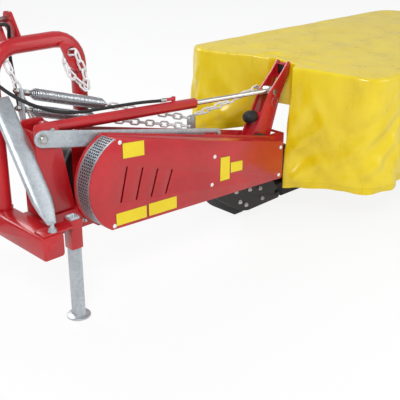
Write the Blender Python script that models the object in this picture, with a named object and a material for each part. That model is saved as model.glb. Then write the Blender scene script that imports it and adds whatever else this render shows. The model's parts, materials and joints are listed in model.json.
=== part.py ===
"""A rear-mounted disc mower, parked on its stand leg and its cutter bar.

Metres, +Z up. +X points to the cutter bar, +Y to the tractor. The origin lies on the ground, under
the middle of the stand's foot.
"""

import math

import bmesh
import bpy
from mathutils import Matrix, Vector

# Fits between pieces
SEAT = 0.0003
RUNNING = 0.0006
OVERRUN = 0.01
PLATE = 0.010
SHEET = 0.004
WELD = 0.002

# Stand leg, its sleeve and its pin
FOOT_R = 0.052
FOOT_THICK = 0.008
LEG = 0.045
LEG_WALL = 0.004
LEG_TOP = 0.47
SLEEVE_WALL = 0.005
SLEEVE_LOW = 0.33
SLEEVE_TOP = 0.46
STAND_PIN_R = 0.006
STAND_PIN_Z = 0.435
STAND_HANDLE = 0.030
STAND_BOSS = 0.014

# Beams of the base frame
BEAM = 0.10
BEAM_ROUND = 0.012
BEAM_Z = 0.386
LEFT_BEAM_X = -0.13
RIGHT_BEAM_X = 0.315
BEAM_REAR_Y = -0.05
BEAM_FRONT_Y = 0.42
CROSS_REAR_Y = 0.12
CROSS_FRONT_Y = 0.24
PLUG_R = 0.024
PLUG_PROUD = 0.003

# Lower hitch
HITCH_HALF_SPAN = 0.4125
HITCH_PIN_R = 0.014
HITCH_PIN_LENGTH = 0.085
HITCH_PIN_Z = 0.53
HITCH_Y = 0.40
HITCH_PLATE = 0.012
HITCH_PLATE_HALF = 0.05
HITCH_STUB = 0.08
COLLAR_R = 0.024
COLLAR = 0.010

# Headstock arch, top link lugs and gusset
ARCH_R = 0.035
ARCH_LEFT_X = -0.115
ARCH_Y = 0.346
ARCH_TOP = 1.118
ARCH_BEND = 0.12
LUG_X = 0.034
LUG_THICK = 0.012
LUG_LEAN = 0.085
LUG_RISE = 0.095
LUG_END_R = 0.032
TOP_PIN_R = 0.0125
TOP_PIN_HEAD = 0.018
GUSSET_Y = 0.300
GUSSET_THICK = 0.014
GUSSET_HOLE_R = 0.024
GUSSET_HOLE_X = 0.255
GUSSET_HOLE_Z = 1.062

# x, z and corner radius
GUSSET_FACE = (
    (0.196, 1.108, 0.006), (0.222, 1.046, 0), (0.246, 0.998, 0.016), (0.268, 0.978, 0.010),
    (0.305, 0.978, 0), (0.311, 1.020, 0), (0.296, 1.062, 0), (0.262, 1.098, 0), (0.222, 1.112, 0),
)

# Galvanised brace
BRACE_X = -0.118
BRACE_WIDTH = 0.090
BRACE_THICK = 0.034
BRACE_FLAT = 0.010
BRACE_FOOT_Y = -0.030
BRACE_FOOT_Z = 0.478
BRACE_TOP_Y = 0.292
BRACE_TOP_Z = 0.93
STUD_R = 0.009
WASHER_R = 0.019
NUT_R = 0.016
NUT = 0.014

# Tower with its cheeks
TOWER_LEFT_X = -0.065
TOWER_TOP_X = 0.050
TOWER_BASE_X = 0.102
TOWER_NEAR_Y = 0.1305
TOWER_FAR_Y = 0.2395
TOWER_TOP = 0.838
TOWER_WEB_TOP = 0.725

# Lift cylinder
CYL_Y = 0.18
BASE_X = 0.020
BASE_Z = 0.800
EYE_X = 1.405
EYE_Z = 0.712
BARREL_R = 0.025
BARREL_LENGTH = 0.842
BARREL_GLAND = 0.030
ROD_R = 0.0125
ROD_INNER = 0.550
EYE_R = 0.026
BASE_EYE_R = 0.030
PIN_R = 0.0125
PORT_R = 0.010
PORT_ALONG = 0.705
PORT_HEIGHT = 0.048

# Belt guard, its strip and the carrier frame behind it
DRIVE_X = 0.324
DRIVE_Z = 0.527
GUARD_R = 0.225
GUARD_NEAR_Y = 0.010
GUARD_DEPTH = 0.094
GUARD_RIGHT_X = 1.337
GUARD_RIGHT_TOP = 0.483
GUARD_RIGHT_LOW = 0.282
GUARD_CORNER = 0.012
GUARD_ARC_TOP = 108.7
GUARD_ARC_LOW = 238.8
STRIP_WALL = 0.0025
STRIP_FROM = 110
STRIP_TO = 237
BACK_PLATE = 0.006
BACK_LIP = 0.008
FAR_WALL_Y = 0.232
CARRIER_LEFT_X = 0.175
DECK_LEFT_X = 1.300
DECK_RIGHT_X = 1.452
DECK_DROP = 0.055
DECK_SLOT_X = 1.437
ARM_SLOT = 0.046

# Lift pivot and lift arm
PIVOT_X = 1.240
PIVOT_Z = 0.385
HUB_R = 0.050
HUB_FRONT_Y = 0.245
HANGER = 0.012
ARM_GAP = 0.062
ARM_PLATE = 0.010
ARM_HUB_R = 0.072
PIN_HEAD = 0.003
SHANK_R = 0.0062

# Cover tube, rails and tarpaulin
TUBE = 0.060
TUBE_WALL = 0.004
TUBE_INNER_X = 1.490
TUBE_Z = 0.812
RAIL = 0.030
COVER_REAR_Y = -0.360
COVER_FRONT_Y = 0.700
COVER_REAR_Z = 0.815
COVER_FRONT_Z = 0.888
COVER_OUTER_X = 3.500
COVER_WALL = 0.005
NOTCH_X = 1.530

ARM_CHAIN_Y = 0.268

# Cutter bar, shoes and discs
DISC_Y = 0.400
DISC_FIRST_X = 1.760
DISC_PITCH = 0.370
DISC_COUNT = 5
BAR_HALF = 0.105
BAR_LOW = 0.040
BAR_TOP = 0.096
BAR_INNER_X = 1.330
BAR_OUTER_X = 3.365
SKID_HALF = 0.085
SKID_THICK = 0.006
DISC_LONG = 0.185
DISC_SHORT = 0.122
DISC_LOW = 0.118
DISC_EDGE = 0.006
KNIFE_REACH = 0.235
KNIFE_WIDTH = 0.042
KNIFE_THICK = 0.005
HAT_R = 0.095
HAT_LOW = 0.040
HAT_TALL = 0.150

# Springs, chains and hoses
SPRING_R = 0.027
SPRING_WIRE = 0.008
SPRING_TURNS = 19
SPRING_Y = 0.275
LINK_LENGTH = 0.060
LINK_WIDTH = 0.034
LINK_WIRE = 0.009
HOSE_R = 0.0075

RED = (0.62, 0.035, 0.035)
GALVANISED = (0.60, 0.64, 0.66)
ZINC = (0.74, 0.74, 0.72)
BLACK = (0.018, 0.018, 0.018)
CAST = (0.05, 0.05, 0.052)
CHROME = (0.55, 0.54, 0.50)
YELLOW = (0.90, 0.74, 0.03)

GUARD_FAR_Y = GUARD_NEAR_Y + GUARD_DEPTH
BACK_NEAR_Y = GUARD_FAR_Y + SEAT
BACK_FAR_Y = BACK_NEAR_Y + BACK_PLATE
FAR_WALL_FAR_Y = FAR_WALL_Y + BACK_PLATE
ARM_NEAR_Y = CYL_Y - ARM_GAP / 2
ARM_FAR_Y = CYL_Y + ARM_GAP / 2
BEAM_TOP = BEAM_Z + BEAM / 2
CYL_LENGTH = math.hypot(EYE_X - BASE_X, EYE_Z - BASE_Z)
CYL_AXIS = Vector((EYE_X - BASE_X, 0, EYE_Z - BASE_Z)) / CYL_LENGTH
CYL_UP = Vector((-CYL_AXIS.z, 0, CYL_AXIS.x))
BASE_EYE = Vector((BASE_X, CYL_Y, BASE_Z))
UP = Vector((0, 0, 1))
FORWARD = Vector((0, 1, 0))
RIGHT = Vector((1, 0, 0))


def clear_scene():
    for thing in list(bpy.data.objects):
        bpy.data.objects.remove(thing, do_unlink=True)


def material(name, colour, roughness, metallic):
    """A plain Principled finish."""
    made = bpy.data.materials.new(name)
    made.use_nodes = True
    shader = made.node_tree.nodes["Principled BSDF"]
    shader.inputs["Base Color"].default_value = (*colour, 1)
    shader.inputs["Roughness"].default_value = roughness
    shader.inputs["Metallic"].default_value = metallic
    return made


def empty(name, place, parent=None):
    """A joint's own point, which carries the pieces that move on it."""
    made = bpy.data.objects.new(name, None)
    bpy.context.collection.objects.link(made)
    made.parent = parent
    made.location = Vector(place) - (Vector(parent["place"]) if parent else Vector())
    made["place"] = tuple(place)
    return made


def to_mesh(name, shape):
    """Close a bmesh into a mesh with its faces turned out and its round sides smooth."""
    bmesh.ops.recalc_face_normals(shape, faces=shape.faces)
    mesh = bpy.data.meshes.new(name)
    shape.to_mesh(mesh)
    shape.free()
    mesh.shade_smooth()
    mesh.set_sharp_from_angle(angle=math.radians(35))
    return mesh


def add(name, shape, finish, parent=None, joined=(), cut=()):
    """One named piece: a shape, the shapes joined to it and the shapes cut from it."""
    piece = bpy.data.objects.new(name, to_mesh(name, shape))
    bpy.context.collection.objects.link(piece)
    piece.data.materials.append(finish)
    if parent:
        piece.parent = parent
        piece.matrix_parent_inverse = Matrix.Translation(-Vector(parent["place"]))
    for kind, shapes in (("UNION", joined), ("DIFFERENCE", cut)):
        for number, other in enumerate(shapes):
            helper = bpy.data.objects.new(f"{name}_{kind.lower()}_{number}", to_mesh(name, other))
            bpy.context.collection.objects.link(helper)
            helper.parent = piece
            helper.hide_render = True
            helper.display_type = "WIRE"
            step = piece.modifiers.new(helper.name, "BOOLEAN")
            step.operation = kind
            step.solver = "EXACT"
            step.object = helper
    return piece


def prism(outline, low, high, normal="Y"):
    """A flat outline drawn out along an axis, from low to high."""
    place = {
        "X": lambda u, v, w: (w, u, v),
        "Y": lambda u, v, w: (u, w, v),
        "Z": lambda u, v, w: (u, v, w),
    }[normal]
    shape = bmesh.new()
    ends = [[shape.verts.new(place(u, v, w)) for u, v in outline] for w in (low, high)]
    shape.faces.new(ends[0])
    shape.faces.new(reversed(ends[1]))
    for k in range(len(outline)):
        after = (k + 1) % len(outline)
        shape.faces.new((ends[0][k], ends[1][k], ends[1][after], ends[0][after]))
    return shape


def box(x0, x1, y0, y1, z0, z1):
    return prism(((x0, z0), (x1, z0), (x1, z1), (x0, z1)), y0, y1)


def arc(centre, radius, start, stop, steps):
    """Points of an arc, its angles in degrees."""
    turns = (math.radians(start + (stop - start) * k / steps) for k in range(steps + 1))
    return [(centre[0] + radius * math.cos(a), centre[1] + radius * math.sin(a)) for a in turns]


def rounded(corners, steps=3):
    """An outline whose corners (u, v, radius) are rounded by arcs."""
    outline = []
    for k, (u, v, radius) in enumerate(corners):
        here = Vector((u, v))
        if radius == 0:
            outline.append((u, v))
            continue
        back = (Vector(corners[k - 1][:2]) - here).normalized()
        on = (Vector(corners[(k + 1) % len(corners)][:2]) - here).normalized()
        half = back.angle(on) / 2
        middle = here + (back + on).normalized() * radius / math.sin(half)
        first = here + back * radius / math.tan(half) - middle
        last = here + on * radius / math.tan(half) - middle
        sweep = first.angle_signed(last)
        for step in range(steps + 1):
            turned_by = Matrix.Rotation(-sweep * step / steps, 2)
            outline.append(tuple(middle + turned_by @ first))
    return outline


def frame_of(axis):
    """Two directions square to an axis, and the axis."""
    axis = Vector(axis).normalized()
    side = axis.cross(UP if abs(axis.z) < 0.9 else FORWARD).normalized()
    return side, axis.cross(side), axis


def turned(profile, centre, axis, sides=20, squash=1):
    """A turned body: (radius, height) stations along an axis, closed at both ends."""
    side, other, axis = frame_of(axis)
    shape = bmesh.new()
    rings = []
    for radius, height in profile:
        ring = []
        for k in range(sides):
            angle = math.tau * k / sides
            out = side * math.cos(angle) + other * (math.sin(angle) * squash)
            ring.append(shape.verts.new(Vector(centre) + axis * height + out * radius))
        rings.append(ring)
    for low, high in zip(rings, rings[1:]):
        for k in range(sides):
            after = (k + 1) % sides
            shape.faces.new((low[k], low[after], high[after], high[k]))
    shape.faces.new(rings[0])
    shape.faces.new(reversed(rings[-1]))
    return shape


def rod(start, end, radius, sides=16):
    """A round bar between two points."""
    span = Vector(end) - Vector(start)
    return turned(((radius, 0), (radius, span.length)), start, span, sides)


def swept(points, radius, sides=8, closed=False, flat=1):
    """A round bar along points, its section carried on without twist."""
    points = [Vector(p) for p in points]
    count = len(points)
    shape = bmesh.new()
    rings = []
    side = None
    for k, point in enumerate(points):
        before = points[k - 1] if k or closed else point
        after = points[(k + 1) % count] if k < count - 1 or closed else point
        along = (after - before).normalized()
        side = frame_of(along)[0] if side is None else (side - along * side.dot(along)).normalized()
        other = along.cross(side)
        ring = []
        for j in range(sides):
            angle = math.tau * (j + 0.5) / sides
            out = side * math.cos(angle) + other * (math.sin(angle) * flat)
            ring.append(shape.verts.new(point + out * radius))
        rings.append(ring)
    pairs = list(zip(rings, rings[1:])) + ([(rings[-1], rings[0])] if closed else [])
    for low, high in pairs:
        for j in range(sides):
            after = (j + 1) % sides
            shape.faces.new((low[j], low[after], high[after], high[j]))
    if not closed:
        shape.faces.new(rings[0])
        shape.faces.new(reversed(rings[-1]))
    return shape


def square_outline(centre, size, corner):
    """A square tube's outline with rounded corners."""
    u, v = centre
    half = size / 2
    return rounded(((u - half, v - half, corner), (u + half, v - half, corner),
                    (u + half, v + half, corner), (u - half, v + half, corner)), 2)


def smooth_path(points, steps):
    """Points on a smooth curve that passes through hand-chosen points."""
    points = [Vector(p) for p in points]
    ends = [points[0] * 2 - points[1]] + points + [points[-1] * 2 - points[-2]]
    path = [points[0]]
    for a, b, c, d in zip(ends, ends[1:], ends[2:], ends[3:]):
        for step in range(1, steps + 1):
            t = step / steps
            path.append(((b * 2) + (c - a) * t + (a * 2 - b * 5 + c * 4 - d) * t * t
                         + (b * 3 - a - c * 3 + d) * t * t * t) / 2)
    return path


def link_shape(centre, along, width_side, length):
    """One round-steel chain link, a closed ring with straight sides."""
    half = (length - LINK_WIDTH) / 2
    bend = (LINK_WIDTH - LINK_WIRE) / 2
    points = []
    for end in (1, -1):
        for step in range(4):
            angle = math.pi * (step / 3 - 0.5)
            points.append(Vector(centre) + along * (end * (half + bend * math.cos(angle)))
                          + width_side * (end * bend * math.sin(angle)))
    return swept(points, LINK_WIRE / 2, 5, closed=True)


def chain(name, nodes, finish, parent, side):
    """Links between nodes, each hooked in the one before; the first one's width lies along side."""
    nodes = [Vector(node) for node in nodes]
    hold = LINK_WIRE * 1.75
    shapes = []
    for k, (start, end) in enumerate(zip(nodes, nodes[1:])):
        along = (end - start).normalized()
        side = (side - along * side.dot(along)).normalized()
        width_side = along.cross(side) if k % 2 else side
        shapes.append(link_shape((start + end) / 2, along, width_side, (end - start).length + hold))
    return add(name, shapes[0], finish, parent, joined=shapes[1:])


def chain_nodes(start, end, sag=0, even=False):
    """Evenly spaced nodes from start to end, hanging by sag in the middle."""
    start, end = Vector(start), Vector(end)
    pitch = LINK_LENGTH - LINK_WIRE * 1.75
    count = round((end - start).length / pitch)
    if even:
        count = 2 * round((end - start).length / pitch / 2)
    shares = (k / count for k in range(count + 1))
    return [start.lerp(end, share) - UP * (4 * sag * share * (1 - share)) for share in shares]


def guard_outline(offset=0):
    """The belt guard's outline: a round left end and two slanting edges to the right end."""
    right = GUARD_RIGHT_X + offset
    corner = GUARD_CORNER + max(offset, 0)
    outline = arc((DRIVE_X, DRIVE_Z), GUARD_R + offset, GUARD_ARC_TOP, GUARD_ARC_LOW, 14)
    tail = rounded(((*outline[-1], 0), (right, GUARD_RIGHT_LOW - offset, corner),
                    (right, GUARD_RIGHT_TOP + offset, corner), (*outline[0], 0)), 2)
    return outline + tail[1:-1]


def guard_low(x):
    """Height of the guard's lower edge at a place along it."""
    angle = math.radians(GUARD_ARC_LOW)
    left = Vector((DRIVE_X + GUARD_R * math.cos(angle), DRIVE_Z + GUARD_R * math.sin(angle)))
    right = Vector((GUARD_RIGHT_X, GUARD_RIGHT_LOW))
    return left.lerp(right, (x - left.x) / (right.x - left.x)).y


def build_stand(steel, red, parent, stand):
    """The square leg on its round foot, in a sleeve with a T-handled pin."""
    foot = turned(((FOOT_R, 0), (FOOT_R, FOOT_THICK)), (0, 0, 0), UP, 24)
    leg = prism(square_outline((0, 0), LEG, LEG_WALL), FOOT_THICK / 2, LEG_TOP, "Z")
    bore = prism(square_outline((0, 0), LEG - 2 * LEG_WALL, LEG_WALL / 2), FOOT_THICK,
                 LEG_TOP + OVERRUN, "Z")
    add("stand_leg", foot, steel, stand, joined=(leg,), cut=(bore,))

    inner = LEG + 2 * RUNNING
    outer = inner + 2 * SLEEVE_WALL
    sleeve = prism(square_outline((0, 0), outer, SLEEVE_WALL), SLEEVE_LOW, SLEEVE_TOP, "Z")
    hole = prism(square_outline((0, 0), inner, LEG_WALL), SLEEVE_LOW - OVERRUN,
                 SLEEVE_TOP + OVERRUN, "Z")
    boss = rod((outer / 2 - WELD, 0, STAND_PIN_Z), (outer / 2 + STAND_BOSS, 0, STAND_PIN_Z),
               2 * STAND_PIN_R, 14)
    pin_hole = rod((0, 0, STAND_PIN_Z), (outer + STAND_BOSS, 0, STAND_PIN_Z), STAND_PIN_R + SEAT, 14)
    plates = [box(LEFT_BEAM_X - BEAM / 2 + BEAM_ROUND, -outer / 2 + WELD, BEAM_REAR_Y + BEAM_ROUND / 2,
                  outer / 2 - WELD, BEAM_TOP + SEAT, BEAM_TOP + SEAT + PLATE)]
    add("stand_sleeve", sleeve, red, parent, joined=[*plates, boss], cut=(hole, pin_hole))

    reach = outer / 2 + STAND_BOSS + STAND_HANDLE / 2
    pin = rod((LEG / 2 + SEAT, 0, STAND_PIN_Z), (reach, 0, STAND_PIN_Z), STAND_PIN_R, 12)
    handle = rod((reach, -STAND_HANDLE / 2, STAND_PIN_Z), (reach, STAND_HANDLE, STAND_PIN_Z),
                 STAND_PIN_R, 12)
    add("stand_pin", pin, steel, parent, joined=(handle,))


def build_base_frame(red, steel, parent):
    """Two long beams and a cross beam, and the hitch plates with their pins."""
    low, high = BEAM_Z - BEAM / 2, BEAM_Z + BEAM / 2
    left = prism(square_outline((LEFT_BEAM_X, BEAM_Z), BEAM, BEAM_ROUND), BEAM_REAR_Y, BEAM_FRONT_Y)
    plug = turned(((PLUG_R, 0), (PLUG_R, PLUG_PROUD + WELD)),
                  (LEFT_BEAM_X, BEAM_REAR_Y - PLUG_PROUD, BEAM_Z), FORWARD, 20)
    right = prism(square_outline((RIGHT_BEAM_X, BEAM_Z), BEAM, BEAM_ROUND), CROSS_REAR_Y, BEAM_FRONT_Y)
    cross = box(LEFT_BEAM_X, RIGHT_BEAM_X, CROSS_REAR_Y + WELD, CROSS_FRONT_Y, low + WELD, high - WELD)
    joined = [plug, right, cross]
    for side, beam in ((-1, LEFT_BEAM_X), (1, RIGHT_BEAM_X)):
        outer = side * HITCH_HALF_SPAN
        inner = outer - side * HITCH_PLATE
        plate = rounded(((HITCH_Y - HITCH_PLATE_HALF, low, 0), (HITCH_Y + HITCH_PLATE_HALF, low, 0),
                         (HITCH_Y + HITCH_PLATE_HALF, HITCH_PIN_Z + COLLAR_R * 1.5, HITCH_PLATE_HALF / 2),
                         (HITCH_Y - HITCH_PLATE_HALF, HITCH_PIN_Z + COLLAR_R * 1.5, HITCH_PLATE_HALF / 2)), 4)
        joined.append(prism(plate, min(inner, outer), max(inner, outer), "X"))
        stub = square_outline((HITCH_Y - WELD, BEAM_Z), HITCH_STUB, BEAM_ROUND)
        stub = [(u - HITCH_PLATE_HALF / 2, v) for u, v in stub]
        joined.append(prism(stub, min(beam, inner + side * WELD), max(beam, inner + side * WELD), "X"))
    add("base_frame", left, red, parent, joined=joined)

    for name, side in (("left", -1), ("right", 1)):
        start = side * (HITCH_HALF_SPAN + SEAT)
        pin = turned(((COLLAR_R, 0), (COLLAR_R, COLLAR), (HITCH_PIN_R, COLLAR),
                      (HITCH_PIN_R, HITCH_PIN_LENGTH - HITCH_PIN_R / 2),
                      (HITCH_PIN_R * 0.7, HITCH_PIN_LENGTH)),
                     (start, HITCH_Y, HITCH_PIN_Z), RIGHT * side, 20)
        add(f"hitch_pin_{name}", pin, steel, parent)


def build_arch(red, steel, parent):
    """The bent tube with its gusset and its two top link lugs, and the pin in them."""
    left, right = ARCH_LEFT_X, RIGHT_BEAM_X
    high = ARCH_TOP - ARCH_BEND
    points = [(left, BEAM_TOP + SEAT)]
    points += arc((left + ARCH_BEND, high), ARCH_BEND, 180, 90, 7)
    points += arc((right - ARCH_BEND, high), ARCH_BEND, 90, 0, 7)
    points += [(right, DRIVE_Z + COLLAR_R * 3 + SEAT)]
    tube = swept([(u, ARCH_Y, v) for u, v in points], ARCH_R, 16)
    collar = rod((left, ARCH_Y, BEAM_TOP + SEAT), (left, ARCH_Y, BEAM_TOP + SEAT + COLLAR / 2),
                 ARCH_R + COLLAR / 2, 20)
    gusset = prism(rounded(GUSSET_FACE, 4), GUSSET_Y, GUSSET_Y + GUSSET_THICK)
    hole = rod((GUSSET_HOLE_X, GUSSET_Y - OVERRUN, GUSSET_HOLE_Z),
               (GUSSET_HOLE_X, GUSSET_Y + GUSSET_THICK + SEAT, GUSSET_HOLE_Z), GUSSET_HOLE_R, 16)
    pin_y, pin_z = ARCH_Y + LUG_LEAN, ARCH_TOP + LUG_RISE
    ear = rounded(((ARCH_Y - ARCH_R / 2, ARCH_TOP + ARCH_R / 3, 0), (ARCH_Y + ARCH_R * 0.9, ARCH_TOP - ARCH_R / 3, 0),
                   (pin_y + LUG_END_R, pin_z - LUG_END_R / 2, LUG_END_R / 2),
                   (pin_y + LUG_END_R / 2, pin_z + LUG_END_R, LUG_END_R / 2),
                   (pin_y - LUG_END_R, pin_z + LUG_END_R, LUG_END_R / 2)), 4)
    lugs = [prism(ear, x - LUG_THICK / 2, x + LUG_THICK / 2, "X") for x in (-LUG_X, LUG_X)]
    bore = rod((-LUG_X * 2, pin_y, pin_z), (LUG_X * 2, pin_y, pin_z), TOP_PIN_R + SEAT, 16)
    add("headstock_arch", tube, red, parent, joined=[collar, gusset, *lugs], cut=(hole, bore))

    end = LUG_X + LUG_THICK / 2 + SEAT
    pin = turned(((TOP_PIN_HEAD, -end - COLLAR), (TOP_PIN_HEAD, -end), (TOP_PIN_R, -end),
                  (TOP_PIN_R, end + COLLAR), (TOP_PIN_R / 2, end + COLLAR * 1.5)),
                 (0, pin_y, pin_z), RIGHT, 16)
    add("top_link_pin", pin, steel, parent)


def build_brace(galvanised, steel, red, parent):
    """The galvanised tube from the stand end up to the arch, flattened at both ends, on its stud."""
    x = BRACE_X
    foot = Vector((x, BRACE_FOOT_Y, BRACE_FOOT_Z))
    top = Vector((x, BRACE_TOP_Y, BRACE_TOP_Z))
    side, other, along = RIGHT, None, (top - foot).normalized()
    other = along.cross(side)
    length = (top - foot).length
    # share of the length, share of the width, share of the thickness
    stations = ((0.0, 0.42, 0.35), (0.10, 0.80, 0.55), (0.19, 1.0, 1.0), (0.93, 1.0, 1.0), (1.0, 1.0, 0.4))
    shape = bmesh.new()
    rings = []
    for far, wide_share, thick_share in stations:
        half_w = BRACE_WIDTH / 2 * wide_share
        half_t = BRACE_THICK / 2 * thick_share
        ring = []
        for k in range(12):
            angle = math.tau * (k + 0.5) / 12
            u = half_w * math.copysign(abs(math.cos(angle)) ** 0.6, math.cos(angle))
            v = half_t * math.copysign(abs(math.sin(angle)) ** 0.6, math.sin(angle))
            ring.append(shape.verts.new(foot + along * (length * far) + side * u + other * v))
        rings.append(ring)
    for low, high in zip(rings, rings[1:]):
        for k in range(12):
            after = (k + 1) % 12
            shape.faces.new((low[k], low[after], high[after], high[k]))
    shape.faces.new(rings[0])
    shape.faces.new(reversed(rings[-1]))
    plate_z = BEAM_TOP + SEAT + PLATE + SEAT
    stud = turned(((WASHER_R, 0), (WASHER_R, NUT / 4), (NUT_R, NUT / 4), (NUT_R, NUT),
                   (STUD_R, NUT), (STUD_R, BRACE_FOOT_Z - plate_z + BRACE_FLAT)),
                  (x, BRACE_FOOT_Y, plate_z), UP, 12)
    add("arch_brace", shape, galvanised, parent, joined=(stud,))


def build_tower(red, steel, parent):
    """Two cheeks on the cross beam with a wall between them, which hold the cylinder's pin."""
    base = BEAM_TOP + SEAT
    outline = rounded(((TOWER_LEFT_X, base, 0), (TOWER_BASE_X, base, 0),
                       (TOWER_BASE_X, base + BEAM / 3, 0), (TOWER_TOP_X, BASE_Z - BASE_EYE_R, BASE_EYE_R),
                       (TOWER_TOP_X, TOWER_TOP, BASE_EYE_R), (TOWER_LEFT_X, TOWER_TOP, BASE_EYE_R / 2)), 4)
    near = prism(outline, TOWER_NEAR_Y, TOWER_NEAR_Y + PLATE)
    far = prism(outline, TOWER_FAR_Y - PLATE, TOWER_FAR_Y)
    wall = box(TOWER_LEFT_X, TOWER_LEFT_X + PLATE, TOWER_NEAR_Y + PLATE / 2, TOWER_FAR_Y - PLATE / 2,
               base, TOWER_TOP - BASE_EYE_R)
    web_face = ((TOWER_LEFT_X + PLATE / 2, TOWER_WEB_TOP - PLATE), (TOWER_TOP_X - PLATE, TOWER_WEB_TOP - PLATE * 3),
                (TOWER_TOP_X - PLATE, TOWER_WEB_TOP - PLATE * 2), (TOWER_LEFT_X + PLATE / 2, TOWER_WEB_TOP))
    web = prism(web_face, TOWER_NEAR_Y + PLATE / 2, TOWER_FAR_Y - PLATE / 2)
    right_wall = prism(((TOWER_BASE_X - PLATE * 1.5, base), (TOWER_BASE_X - PLATE / 2, base),
                        (TOWER_TOP_X - PLATE / 2, TOWER_WEB_TOP - PLATE * 2),
                        (TOWER_TOP_X - PLATE * 1.5, TOWER_WEB_TOP - PLATE * 2)),
                       TOWER_NEAR_Y + PLATE / 2, TOWER_FAR_Y - PLATE / 2)
    bore = rod((BASE_X, TOWER_NEAR_Y - OVERRUN, BASE_Z), (BASE_X, TOWER_FAR_Y + OVERRUN, BASE_Z),
               PIN_R + SEAT, 16)
    add("tower", near, red, parent, joined=(far, wall, web, right_wall), cut=(bore,))

    reach = TOWER_FAR_Y - TOWER_NEAR_Y
    pin = turned(((PIN_R, SEAT), (PIN_R, reach + SEAT), (PIN_R * 1.5, reach + SEAT), (PIN_R * 1.5, reach + COLLAR)),
                 (BASE_X, TOWER_NEAR_Y, BASE_Z), FORWARD, 16)
    add("cylinder_base_pin", pin, steel, parent)


LIMIT_LEFT_X = -0.036
LIMIT_LEFT_Z = 0.778
LIMIT_RIGHT_X = 0.965
LIMIT_RIGHT_Z = 0.573
LIMIT_HIGH = 0.072
LIMIT_SLOT = 0.085
LIMIT_SLOT_R = 0.015
BOLT_R = 0.017


def limit_frame():
    """The limit bar's direction and the direction up across it."""
    left = Vector((LIMIT_LEFT_X, LIMIT_LEFT_Z))
    along = (Vector((LIMIT_RIGHT_X, LIMIT_RIGHT_Z)) - left).normalized()
    return left, along, Vector((-along.y, along.x))


def limit_length():
    return math.hypot(LIMIT_RIGHT_X - LIMIT_LEFT_X, LIMIT_RIGHT_Z - LIMIT_LEFT_Z)


def build_limit_bar(galvanised, steel, parent):
    """The galvanised bar that limits the carrier's swing: bolted at the tower, slotted at the far end."""
    left, along, across = limit_frame()
    length = limit_length()

    def place(points):
        return [tuple(left + along * u + across * v) for u, v in points]

    half = LIMIT_HIGH / 2
    near, far = TOWER_NEAR_Y - SEAT - PLATE, TOWER_NEAR_Y - SEAT
    outline = arc((0, 0), half, 90, 270, 8)
    outline += [(length, -half), (length + half / 2, -half / 2), (length + half / 2, half / 2), (length, half)]
    slot = arc((length - LIMIT_SLOT, 0), LIMIT_SLOT_R, 90, 270, 6)
    slot += arc((length - LIMIT_SLOT_R, 0), LIMIT_SLOT_R, -90, 90, 6)
    bolt_hole = rod((LIMIT_LEFT_X, near - OVERRUN, LIMIT_LEFT_Z), (LIMIT_LEFT_X, far + OVERRUN, LIMIT_LEFT_Z),
                    BOLT_R / 2 + SEAT, 12)
    add("limit_bar", prism(place(outline), near, far), galvanised, parent,
        cut=(prism(place(slot), near - OVERRUN, far + OVERRUN), bolt_hole))
    bolt = turned(((BOLT_R * 0.8, -NUT), (BOLT_R, -NUT * 0.8), (BOLT_R, -NUT / 4), (BOLT_R * 1.4, -NUT / 4),
                   (BOLT_R * 1.4, 0), (BOLT_R / 2, 0), (BOLT_R / 2, PLATE - SEAT)),
                  (LIMIT_LEFT_X, near - SEAT, LIMIT_LEFT_Z), FORWARD, 12)
    add("limit_bolt", bolt, steel, parent)


def build_guard(red, galvanised, parent):
    """The belt guard's pan and the strip round its left end."""
    outer = prism(guard_outline(), GUARD_NEAR_Y, GUARD_FAR_Y)
    inner = prism(guard_outline(-SHEET), GUARD_NEAR_Y + SHEET, GUARD_FAR_Y + OVERRUN)
    seat = arc((DRIVE_X, DRIVE_Z), GUARD_R + OVERRUN, STRIP_FROM, STRIP_TO, 16)
    seat += arc((DRIVE_X, DRIVE_Z), GUARD_R - STRIP_WALL, STRIP_TO, STRIP_FROM, 16)
    recess = prism(seat, GUARD_NEAR_Y + SHEET, GUARD_FAR_Y + OVERRUN)
    add("belt_guard", outer, red, parent, cut=(inner, recess))
    strip = arc((DRIVE_X, DRIVE_Z), GUARD_R, STRIP_FROM + 1, STRIP_TO - 1, 16)
    strip += arc((DRIVE_X, DRIVE_Z), GUARD_R - STRIP_WALL + SEAT, STRIP_TO - 1, STRIP_FROM + 1, 16)
    add("guard_strip", prism(strip, GUARD_NEAR_Y + SHEET + SEAT, GUARD_FAR_Y - SEAT), galvanised, parent)


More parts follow.
